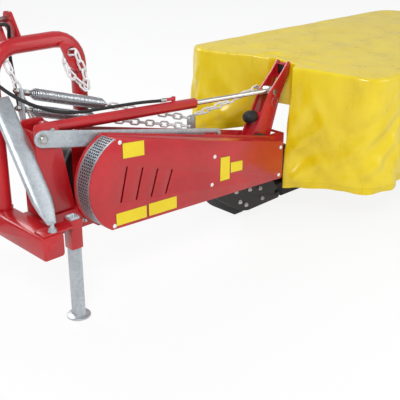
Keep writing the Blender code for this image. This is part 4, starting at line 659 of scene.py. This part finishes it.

# %% [markdown]
# The guard's own curved wall lies close behind the strip, and red would show through every hole. The
# wall's outer faces there get the dull black of rubber as painted shade, standing for the shadow inside
# the guard. They are picked by their distance and angle from the pulley's axis.

# %% Painted shade on the wall behind the strip
WALL_FROM_SHARE, WALL_TO_SHARE = 0.980, 0.991
# Black rubber on these faces is painted shade, standing for the shadow inside the guard
guard.materials.append(RUBBER)
shade_painted_faces = 0
for face in guard.polygons:
    spoke = Vector((face.center.x - DRIVE_X, face.center.z - DRIVE_Z))
    in_wall = WALL_FROM_SHARE < spoke.length / GUARD_R < WALL_TO_SHARE
    behind_strip = STRIP_FROM < math.atan2(spoke.y, spoke.x) % math.tau < STRIP_TO
    if in_wall and behind_strip and face.normal.xz.dot(spoke) > 0:
        face.material_index = 1
        shade_painted_faces += 1
print(shade_painted_faces, "faces of the wall are dark")

# %% [markdown]
# Two tension springs carry part of the cutter bar's weight. A close-wound spring is a curve whose
# angle grows with its length and whose radius closes in at both ends, so its points come from one
# formula on the spline's own factor, and a round wire follows them.

# %% The springs' coils
coil = Grown("tension_spring")
coil_length, coil_radius, coil_wire, coil_turns = (coil.size(n) for n in ("Length", "Radius", "Wire", "Turns"))
line = coil.node("GeometryNodeCurvePrimitiveLine", None, {"End": coil.vector(X=coil_length)})
line = coil.node("GeometryNodeResampleCurve", None, {"Curve": line, "Count": coil.size("Points", "Int")})
factor = coil.node("GeometryNodeSplineParameter", output="Factor")
near_end = factor.to("MINIMUM", 1 - factor)
taper = (near_end * 9 + 0.40).to("MINIMUM", 1.0)
angle = factor * coil_turns * math.tau
spiral = coil.vector(X=factor * coil_length, Y=angle.to("COSINE") * taper * coil_radius,
                     Z=angle.to("SINE") * taper * coil_radius)
line = coil.node("GeometryNodeSetPosition", None, {"Geometry": line, "Position": spiral})
coil.finish(coil.moved(coil.wire(line, coil_wire * 0.5, 7), Rotation=coil.vector(Y=coil.size("Slant")),
                       Translation=coil.size("Left End", "Vector")), SPRING_ZINC)
print("coil tree of", len(coil.group.nodes), "nodes")

# %% [markdown]
# A spring's left end is a threaded rod that goes through a bar and is set with a nut, and its right
# end is a hook that takes a chain. Both sit on the solids' places: the rod is spun, the hook swept.

# %% The springs and their ends
# The springs' coils and hooks, the bar that holds their left ends, and the screwed end, in metres
SPRING_Y, SPRING_R, SPRING_WIRE, SPRING_HOOK_WIRE = 0.275, 0.027, 0.0064, 0.008
SPRING_PITCH_SHARE, COIL_POINTS_A_TURN = 1.18, 18
SPRING_BAR_X, SPRING_BAR_WIDE, SEAT_GAP = -0.026, 0.014, 0.0005
HEX_R, HEX_ROUND, THREAD_R, NUT = 0.0145, 0.002, 0.006, 0.014
RIDGES, RIDGE_PITCH, RIDGE_WIDE, RIDGES_FROM = 9, 0.0015, 0.0012, 0.012
HOOK_R, HOOK_TURN, HOOK_STEP = SPRING_R * 0.5, 300, 20
UPPER_LEFT, UPPER_SPAN = Vector((0.018, SPRING_Y, 0.930)), Vector((0.377, 0, -0.119))
# Name, drop below the upper one, share of its length, and the hexagon's length
SPRINGS = (("spring_upper", 0, 1, 0.030), ("spring_lower", 0.072, 0.84, 0.007))


def screwed_end(shape, left, along, hexagon):
    """Adds the threaded rod through the bar, with a hexagon before the bar and a nut behind it."""
    bar = (left.x - SPRING_BAR_X) / along.x
    clear = SPRING_BAR_WIDE / 2 / along.x + HEX_R * abs(along.z) / along.x + SEAT_GAP
    near, far = bar - clear, bar + clear
    turned(shape, ((HEX_R * 0.9, near), (HEX_R, near - HEX_ROUND), (HEX_R, near - hexagon + HEX_ROUND),
                   (HEX_R * 0.9, near - hexagon)), left, -along, 6)
    turned(shape, ((THREAD_R, -SPRING_R), (THREAD_R, far + NUT * 1.5)), left, -along, 16)
    turned(shape, ((HEX_R * 0.85, far), (HEX_R * 0.85, far + NUT)), left, -along, 6)
    for k in range(RIDGES):
        foot = near + RIDGE_PITCH * k - RIDGES_FROM
        turned(shape, ((THREAD_R * 1.02, foot), (THREAD_R * 1.16, foot + RIDGE_WIDE / 2),
                       (THREAD_R * 1.02, foot + RIDGE_WIDE)), left, -along, 16)


spring_hooks = {}
for name, drop, share, hexagon in SPRINGS:
    left, span = UPPER_LEFT - UP * drop, UPPER_SPAN * share
    right, along = left + span, span.normalized()
    turns = span.length / (SPRING_WIRE * SPRING_PITCH_SHARE)
    mesh = coil.grow(name, points_mesh(name, [(0, 0, 0)]), Length=span.length, Turns=turns, Wire=SPRING_WIRE,
                     Radius=SPRING_R - SPRING_WIRE / 2, Points=int(turns * COIL_POINTS_A_TURN),
                     Slant=math.atan2(-along.z, along.x), Left_End=left)
    placed(f"{name}_coil", mesh, "machine", None, name, smooth=80)
    shape = bmesh.new()
    screwed_end(shape, left, along, hexagon)
    side = side_of(along)[0]
    centre = right + along * HOOK_R * 1.6
    hook = [right - along * HOOK_R, right]
    hook += [centre - along * HOOK_R * math.cos(a) + side * HOOK_R * math.sin(a)
             for a in (math.radians(step) for step in range(0, HOOK_TURN + 1, HOOK_STEP))]
    swept(shape, hook, SPRING_HOOK_WIRE / 2, 10)
    placed(f"{name}_fittings", as_mesh(f"{name}_fittings", shape), "machine", ZINC)
    spring_hooks[name] = (centre, along)
print(len(SPRINGS), "springs of about", round(UPPER_SPAN.length / (SPRING_WIRE * SPRING_PITCH_SHARE)), "turns")

# %% [markdown]
# A chain is one link over and over, each turned a quarter from the last. A link's place, direction
# and length are worked out from the chain's nodes, the points where two links hold each other, and
# written on points; a tree then sets the same rounded link on every point and stretches it to fit.

# %% The chains
LINK_LENGTH, LINK_WIDTH, LINK_WIRE = 0.060, 0.034, 0.009
LINK_HOLD = LINK_WIRE * 1.75
links = Grown("chain_links")
long_in, wide_in, wire_in = (links.size(n) for n in ("Length", "Width", "Wire"))
oval = links.node("GeometryNodeCurvePrimitiveQuadrilateral", {"mode": "RECTANGLE"}, {
    "Width": long_in - wire_in, "Height": wide_in - wire_in})
oval = links.node("GeometryNodeFilletCurve", {"mode": "POLY"}, {
    "Curve": oval, "Count": 6, "Radius": (wide_in - wire_in) * 0.495})
turn = links.node("FunctionNodeEulerToRotation", None, {"Euler": links.attribute("turn")})
links.finish(links.on_points(links.wire(oval, wire_in * 0.5, 10), Rotation=turn,
                             Scale=links.attribute("stretch")), ZINC)


def chain(name, nodes, body, side):
    """One chain along its nodes; the first link's width lies along side."""
    nodes = [Vector(node) for node in nodes]
    pairs = list(zip(nodes, nodes[1:]))
    mean = sum((b - a).length for a, b in pairs) / len(pairs) + LINK_HOLD
    places, turns, stretches = [], [], []
    for k, (a, b) in enumerate(pairs):
        along = (b - a).normalized()
        side = (side - along * side.dot(along)).normalized()
        wide = along.cross(side) if k % 2 else side
        places.append((a + b) / 2)
        turns.append(Matrix((along, wide, along.cross(wide))).transposed().to_euler())
        stretches.append((((b - a).length + LINK_HOLD) / mean, 1, 1))
    start = points_mesh(name, places, turn=turns, stretch=stretches)
    mesh = links.grow(name, start, Length=mean, Width=LINK_WIDTH, Wire=LINK_WIRE)
    placed(f"{name}_links", mesh, body, None, name, smooth=70)
    print(name, len(places), "links")


def spread(start, end, sag=0.0, even=False):
    """Evenly spaced nodes from start to end that hang down by sag in the middle."""
    start, end = Vector(start), Vector(end)
    pitches = (end - start).length / (LINK_LENGTH - LINK_HOLD)
    count = 2 * round(pitches / 2) if even else round(pitches)
    shares = [k / count for k in range(count + 1)]
    return [start.lerp(end, share) - UP * (4 * sag * share * (1 - share)) for share in shares]


# The post's holes and the arm's screw eye, where the chains end; a link's play, in metres
POST_HOLE_X, POST_HOLE_Y, POST_HOLE_PLAY, LINK_PLAY = 0.883, 0.2403, 0.002, 0.0003
SHANK_X, SHANK_Z, SHANK_R = 1.405, 0.713, 0.0062
ARM_CHAIN_X, ARM_CHAIN_Y, ARM_CHAIN_Z, ARM_CHAIN_SAG = 0.954, 0.268, 0.653, 0.0075
# Chain, the spring that it holds, and the height of its hole in the post
SPRING_CHAINS = (("chain_upper", "spring_upper", 0.653), ("chain_lower", "spring_lower", 0.612))
hooked = SPRING_R * 0.45 - SPRING_HOOK_WIRE / 2 - LINK_WIRE / 8 - LINK_PLAY
for name, spring, hole_z in SPRING_CHAINS:
    centre, axis = spring_hooks[spring]
    hole = Vector((POST_HOLE_X, POST_HOLE_Y, hole_z))
    last = hole - (hole - centre).normalized() * (LINK_WIRE * 0.375 + POST_HOLE_PLAY)
    chain(name, spread(centre + axis * hooked, last, even=True), "machine", UP)
arm_start = (ARM_CHAIN_X, ARM_CHAIN_Y, ARM_CHAIN_Z)
arm_end = (SHANK_X + SHANK_R + LINK_PLAY + LINK_WIRE * 0.2, ARM_CHAIN_Y, SHANK_Z)
chain("chain_arm", spread(arm_start, arm_end, sag=ARM_CHAIN_SAG, even=True), "mower", FORWARD)
# Where the links of the gusset's chain meet, it being hung through the hole and back, in metres
GUSSET_NODES = (
    (0.311, 0.284, 0.893), (0.287, 0.2935, 0.921), (0.262, 0.303, 0.948), (0.238, 0.312, 0.976),
    (0.229, 0.3225, 1.018), (0.242, 0.3225, 1.060), (0.262, 0.2805, 1.066), (0.276, 0.278, 1.024),
    (0.293, 0.278, 0.983), (0.304, 0.279, 0.940), (0.311, 0.284, 0.897),
)
chain("chain_gusset", GUSSET_NODES, "machine", RIGHT)
HEADSTOCK_CHAIN_TOP, HEADSTOCK_CHAIN_FOOT = (-0.044, 0.336, 1.0575), (0.054, 0.300, 0.758)
chain("chain_headstock", spread(HEADSTOCK_CHAIN_TOP, HEADSTOCK_CHAIN_FOOT), "machine", RIGHT)

# %% [markdown]
# A hydraulic hose is stiff: it leaves its fitting straight and then bends in one long sweep. Its
# route is a smooth curve through given points, and a crimped sleeve holds each end. The lift
# hose rides on the cylinder, so it follows the cylinder as it swings.

# %% The hoses
HOSE_R = 0.0075
SLEEVE_LONG, SLEEVE_ROUND, CRIMPS, CRIMP_STEP, CRIMP_WIDE = 0.032, 0.001, 4, 0.006, 0.002
LIFT_HOSE = (
    (0.6775, 0.180, 0.7963), (0.630, 0.1805, 0.8000), (0.590, 0.183, 0.8045), (0.520, 0.190, 0.8100),
    (0.420, 0.200, 0.8140), (0.310, 0.208, 0.8180), (0.200, 0.210, 0.8260), (0.110, 0.210, 0.8450),
    (0.030, 0.208, 0.876), (-0.060, 0.205, 0.925), (-0.140, 0.204, 0.985), (-0.200, 0.206, 1.050),
    (-0.235, 0.210, 1.120), (-0.245, 0.215, 1.190),
)
VALVE_HOSE = (
    (-0.250, 0.290, 1.200), (-0.200, 0.300, 1.226), (-0.130, 0.320, 1.228), (-0.070, 0.336, 1.214),
    (-0.020, 0.350, 1.204), (0.006, 0.378, 1.184), (0.015, 0.398, 1.140), (0.013, 0.400, 1.070),
    (0.013, 0.390, 1.000), (0.016, 0.386, 0.930), (0.029, 0.385, 0.820), (0.042, 0.380, 0.730),
    (0.050, 0.360, 0.660), (0.050, 0.345, 0.600), (0.050, 0.345, 0.560),
)


def smooth_route(points, steps):
    """A curve through every point of a route."""
    points = [Vector(p) for p in points]
    ends = [points[0] * 2 - points[1]] + points + [points[-1] * 2 - points[-2]]
    route = [points[0]]
    for a, b, c, d in zip(ends, ends[1:], ends[2:], ends[3:]):
        for t in ((k + 1) / steps for k in range(steps)):
            route.append(((b * 2) + (c - a) * t + (a * 2 - b * 5 + c * 4 - d) * t ** 2
                          + (b * 3 - a - c * 3 + d) * t ** 3) / 2)
    return route


def sleeves(name, route, body):
    """The crimped steel sleeves at a hose's ends."""
    full, waist = HOSE_R * 1.30, HOSE_R * 1.20
    profile = [(HOSE_R * 0.9, 0.0), (full, SLEEVE_ROUND)]
    for k in range(1, CRIMPS + 1):
        profile += [(full, CRIMP_STEP * k - CRIMP_WIDE), (waist, CRIMP_STEP * k)]
    profile += [(full, SLEEVE_LONG - CRIMP_WIDE), (HOSE_R * 1.02, SLEEVE_LONG)]
    shape = bmesh.new()
    for end, inner in ((route[0], route[4]), (route[-1], route[-5])):
        turned(shape, profile, end, (inner - end).normalized(), 20)
    return placed(name, as_mesh(name, shape), body, ZINC)


# Name, route from its fitting, what its far end is, the body it rides on, and its coupler
HOSES = (
    ("hose_lift", LIFT_HOSE, "connector", "lift_barrel", "coupler_lift"),
    ("hose_valve", VALVE_HOSE[::-1], "connector", "machine", "coupler_valve"),
)
for name, points, far_end, body, coupler in HOSES:
    route = smooth_route(points, 6)
    length = sum((b - a).length for a, b in zip(route, route[1:]))
    shape = bmesh.new()
    swept(shape, route, HOSE_R, 16)
    hose = placed(f"{name}_tube", as_mesh(f"{name}_tube", shape), body, RUBBER, name, smooth=70)
    crimps = sleeves(f"{name}_sleeves", route, body)
    print(name, round(length, 3), "m")

# %% [markdown]
# The tarpaulin keeps stones in. It is one coated sheet: a flat top over a tube frame, and skirts that
# hang from it, notched round the lift arm. Its plan is the solid's, walked in steps of one cell.

# %% The tarpaulin's plan
# One corner a line: x, y, height of the hem, its lean along x, radius, in metres
COVER_PLAN = (
    (1.340, 0.700, 0.450, -0.030, 0.040),
    (1.285, 0.600, 0.440, -0.055, 0.030),
    (1.500, 0.278, 0.475, 0, 0.010),
    (1.530, 0.257, 0.61, 0, 0.006),
    (1.530, 0.102, 0.62, 0, 0.006),
    (1.462, 0.074, 0.185, -0.045, 0.010),
    (1.600, -0.355, 0.205, 0, 0.110),
    (3.320, -0.355, 0.235, 0, 0.120),
    (3.495, -0.180, 0.260, 0, 0.120),
    (3.495, 0.400, 0.300, 0, 0.120),
    (3.140, 0.695, 0.370, 0, 0.120),
)
COVER_REAR_Y, COVER_FRONT_Y, COVER_REAR_Z, COVER_FRONT_Z = -0.360, 0.700, 0.813, 0.886
# A cell of the cloth, the line in the top's middle that the rings close in on, and how far they get
CELL, SPINE_X, SPINE_Y, SPINE_REACH = 0.026, (1.78, 3.05), 0.17, 0.985
CORNER_STEPS, SKIRT_ROWS, TOP_ROWS = 6, 24, 18


def top_height(y):
    """Height of the flat top across the machine."""
    return COVER_REAR_Z + (COVER_FRONT_Z - COVER_REAR_Z) * (y - COVER_REAR_Y) / (COVER_FRONT_Y - COVER_REAR_Y)


def plan_outline():
    """The plan as fine steps: point, hem height and lean, with round corners."""
    steps = []
    count = len(COVER_PLAN)
    for k, (x, y, hem, lean, radius) in enumerate(COVER_PLAN):
        corner = Vector((x, y, 0))
        before = Vector((*COVER_PLAN[k - 1][:2], 0)) - corner
        after = Vector((*COVER_PLAN[(k + 1) % count][:2], 0)) - corner
        start, end = corner + before.normalized() * radius, corner + after.normalized() * radius
        for t in (j / CORNER_STEPS for j in range(CORNER_STEPS + 1)):
            steps.append((start * (1 - t) ** 2 + corner * 2 * t * (1 - t) + end * t * t, hem, lean))
    fine = []
    for (a, hem_a, lean_a), (b, hem_b, lean_b) in zip(steps, steps[1:] + steps[:1]):
        parts = max(1, round((b - a).length / CELL))
        for t in (j / parts for j in range(parts)):
            fine.append((a.lerp(b, t), hem_a + (hem_b - hem_a) * t, lean_a + (lean_b - lean_a) * t))
    return fine


outline = plan_outline()
print(len(outline), "cells round the cloth")

# %% [markdown]
# Cloth bends anywhere, so it needs small even cells that run the way it hangs. Rings of them are laid
# from the hem up the skirts and over the top, and a map in metres goes along for the weave.

# %% The tarpaulin's cells
shape = bmesh.new()
rows = []
for row in range(-SKIRT_ROWS, TOP_ROWS + 1):
    down, inward = max(0, -row) / SKIRT_ROWS, max(0, row) / TOP_ROWS
    rows.append([])
    for place, hem, lean in outline:
        spine = Vector((min(max(place.x, SPINE_X[0]), SPINE_X[1]), SPINE_Y, 0))
        spot = place.lerp(spine, inward * SPINE_REACH)
        high = top_height(spot.y)
        rows[-1].append(shape.verts.new((spot.x + lean * down, spot.y, high + (hem - high) * down)))
for low, high in zip(rows, rows[1:]):
    for k in range(len(outline)):
        shape.faces.new((low[k - 1], low[k], high[k], high[k - 1]))
gap = [shape.edges.get((rows[-1][k - 1], rows[-1][k])) for k in range(len(outline))]
bmesh.ops.triangle_fill(shape, use_beauty=True, edges=gap)
uv = shape.loops.layers.uv.new("cloth")
shape.verts.index_update()
# Corners from this number on lie on the top; its map is its plan, moved clear of the hem's stitches
top_from = SKIRT_ROWS * len(outline)
for face in shape.faces:
    for loop in face.loops:
        place, j = loop.vert.co, loop.vert.index % len(outline)
        if loop.vert.index >= top_from:
            loop[uv].uv = (place.x, 1 + place.y)
        else:
            loop[uv].uv = (j * CELL, place.z - outline[j][1])
cloth = bpy.data.meshes.new("cover")
shape.to_mesh(cloth)
shape.free()
print("cloth of", len(cloth.polygons), "cells")

# %% [markdown]
# A straight wall of cloth looks like sheet metal. The skirts are pushed in and out by three noises on
# the cloth's own measures: broad billows that grow towards the hem, sharp slanting creases, and small
# wrinkles. The top is lifted by a small noise except round the notch, so that it stays clear of the frame
# below.

# %% Folds
BILLOW, CREASE, WRINKLE, TOP_WAVES, HEM_WAVE = 0.034, 0.030, 0.005, 0.006, 0.020
# The folds reach their full size this far down, and stay small round the notch
FOLDS_FULL_AT, NOTCH_BOX, NOTCH_CALM = 0.30, ((1.30, 1.60), (0.02, 0.33)), 0.2


def wave(*place):
    """Smooth noise at three coordinates, from about -1 to 1."""
    return noise.noise(Vector(place))


girth = cloth.uv_layers["cloth"].data
along_of = {loop.vertex_index: girth[loop.index].uv.x for loop in cloth.loops}
normals = [vert.normal.copy() for vert in cloth.vertices]
for vert, normal in zip(cloth.vertices, normals):
    place = vert.co.copy()
    near_notch = all(low < value < high for value, (low, high) in zip(place.xy, NOTCH_BOX))
    if vert.index >= top_from:
        crease = wave(place.x * 2.2, place.y * 7.0, 3.1) + 0.5 * wave(*(place * 9))
        vert.co.z += 0.0 if near_notch else TOP_WAVES * (1 + crease)
        continue
    u, down = along_of[vert.index], top_height(place.y) - place.z
    drop = min(1.0, down / FOLDS_FULL_AT) * (NOTCH_CALM if near_notch else 1.0)
    ridge = 0.5 - 2 * abs(wave(u * 6.5 + down * 5.0, down * 3.0, 7.7))
    ridge += 0.6 * (0.5 - 2 * abs(wave(u * 8.0 - down * 7.0, down * 4.0, 1.3)))
    push = BILLOW * wave(u * 4.2, down * 1.6, 0.5) + CREASE * ridge
    push += WRINKLE * wave(u * 26, down * 18, 2.2)
    vert.co += Vector((normal.x, normal.y, 0)).normalized() * push * drop
    vert.co.z += HEM_WAVE * wave(u * 3.1, 9.1, 0.4) * drop * drop
cloth.update()

# %% [markdown]
# Coated cloth is glossy, with a fine weave under the skin, patches of darker yellow painted in as the
# shade of creases, and a hem folded up and stitched. The weave and the stitches are sine waves on the
# cloth's own map, which is in metres, so a thread is a thread wherever it lies.

# %% The tarpaulin's finish
tarpaulin = Finish("coated_tarpaulin")
cloth_map = tarpaulin.node("ShaderNodeUVMap", {"uv_map": "cloth"})
u, v = tarpaulin.part("X", cloth_map), tarpaulin.part("Y", cloth_map)
# A thread of the weave, a stitch, the hem's height and half the width of its seam, in metres
THREAD, STITCH, HEM, HEM_LINE = 0.0011, 0.006, 0.032, 0.0012
weave = (u * (math.tau / THREAD)).to("SINE") * (v * (math.tau / THREAD)).to("SINE")
seam_line = (v - HEM).to("ABSOLUTE") < HEM_LINE
stitches = seam_line * ((u * (math.tau / STITCH)).to("SINE") > -0.2)
# The crease noises darken the yellow as painted shade; the first one also makes the crease bump
crease_bump_and_painted_shade = tarpaulin.noise(7.5, 5, (1, 1, 0.6))
fine_crease_painted_shade = tarpaulin.noise(34, 4, (1, 1, 0.5))
shade = crease_bump_and_painted_shade * 0.75 + fine_crease_painted_shade * 0.25
# The ramp's darker stops are painted crease shade
colour = tarpaulin.ramp(shade, (0.26, (0.70, 0.51, 0.003)), (0.50, (0.82, 0.61, 0.005)),
                        (0.76, (0.89, 0.69, 0.02)))
colour = tarpaulin.mixed(stitches * 0.5, colour, (0.45, 0.33, 0.0))
colour = tarpaulin.mixed((v < HEM) * 0.14, colour, (0.50, 0.37, 0.0))
soft = tarpaulin.bump(crease_bump_and_painted_shade, strength=0.25, depth=0.006)
soft = tarpaulin.bump(weave * 0.12 - seam_line * 0.8, strength=0.30, depth=0.0008, under=soft)
TARPAULIN = tarpaulin.done(colour, shade * 0.18 + 0.20, soft, Coat_Weight=0.35, Coat_Roughness=0.18)

COVER_THICK, COVER_FLAT = 0.0024, (3.25, 2.15)
cover = settled("cover_cloth", cloth, [
    ("SUBSURF", {"levels": 1, "render_levels": 1}), ("SOLIDIFY", {"thickness": COVER_THICK, "offset": -1})])
cover = placed("cover_cloth", cover, "mower", TARPAULIN, "cover", smooth=60)
print("cover", len(cover.data.polygons), "faces")

# %% [markdown]
# The floor and background are plain and nearly white, so that the colours read well. The floor is
# matt and keeps the machine's soft shadow. Only what the camera and polished metal see of it is
# lifted towards white; the light that falls on the machine stays at a plain level.

# %% Floor, background and lights
FLOOR_HALF, FLOOR_GAP = 60, 0.0005
# How white the camera sees the floor, and the share of that in glossy reflections
FLOOR_WHITE, FLOOR_IN_GLOSS = 0.88, 0.35
floor_mesh = bpy.data.meshes.new("floor")
floor_mesh.from_pydata([(x * FLOOR_HALF, y * FLOOR_HALF, 0) for x, y in SQUARE], [], [(0, 1, 2, 3)])
floor = linked("floor", floor_mesh)
floor.location.z = cad_box[0][2] - FLOOR_GAP
pale = Finish("pale_floor")
straight, glossy, through = (pale.node("ShaderNodeLightPath", output=f"Is {kind} Ray")
                             for kind in ("Camera", "Glossy", "Transmission"))
seen = straight.to("MAXIMUM", glossy * FLOOR_IN_GLOSS).to("MAXIMUM", through)
matt = pale.node("ShaderNodeBsdfDiffuse", None, {"Color": (0.86, 0.86, 0.86, 1)})
white = pale.node("ShaderNodeEmission", None, {"Color": (1, 1, 1, 1), "Strength": 1})
pale.node("ShaderNodeOutputMaterial", None, {"Surface": pale.node(
    "ShaderNodeMixShader", None, {"Fac": seen * FLOOR_WHITE, 1: matt, 2: white})})
floor_mesh.materials.append(pale.material)

sky = bpy.data.worlds.new("sky")
sky.use_nodes = True
bpy.context.scene.world = sky
air = Tree(sky.node_tree)
air_seen = air.node("ShaderNodeLightPath", output="Is Camera Ray")
daylight = air.node("ShaderNodeBackground", None, {"Color": (0.93, 0.96, 1, 1), "Strength": 0.50})
paper = air.node("ShaderNodeBackground", None, {"Color": (1, 1, 1, 1), "Strength": 1})
backdrop = air.node("ShaderNodeMixShader", None, {"Fac": air_seen, 1: daylight, 2: paper})
air.node("ShaderNodeOutputWorld", None, {"Surface": backdrop})
# Name, place, what it looks at, width in metres, and power in watts
LAMPS = (
    ("key", (-3.2, -3.6, 5.2), (1.2, 0.1, 0.4), 2.4, 270),
    ("fill", (4.6, -4.4, 3.4), (1.8, 0.1, 0.4), 4.0, 80),
    ("rim", (0.8, 4.6, 4.4), (1.2, 0.2, 0.6), 3.0, 150),
)
for name, place, target, width, power in LAMPS:
    lamp = bpy.data.lights.new(name, "AREA")
    lamp.size, lamp.energy = width, power
    aim = (Vector(target) - Vector(place)).to_track_quat("-Z", "Y")
    linked(name, lamp).matrix_world = Matrix.Translation(place) @ aim.to_matrix().to_4x4()
bpy.context.scene.view_settings.view_transform = "Standard"
print(len(LAMPS), "lamps")
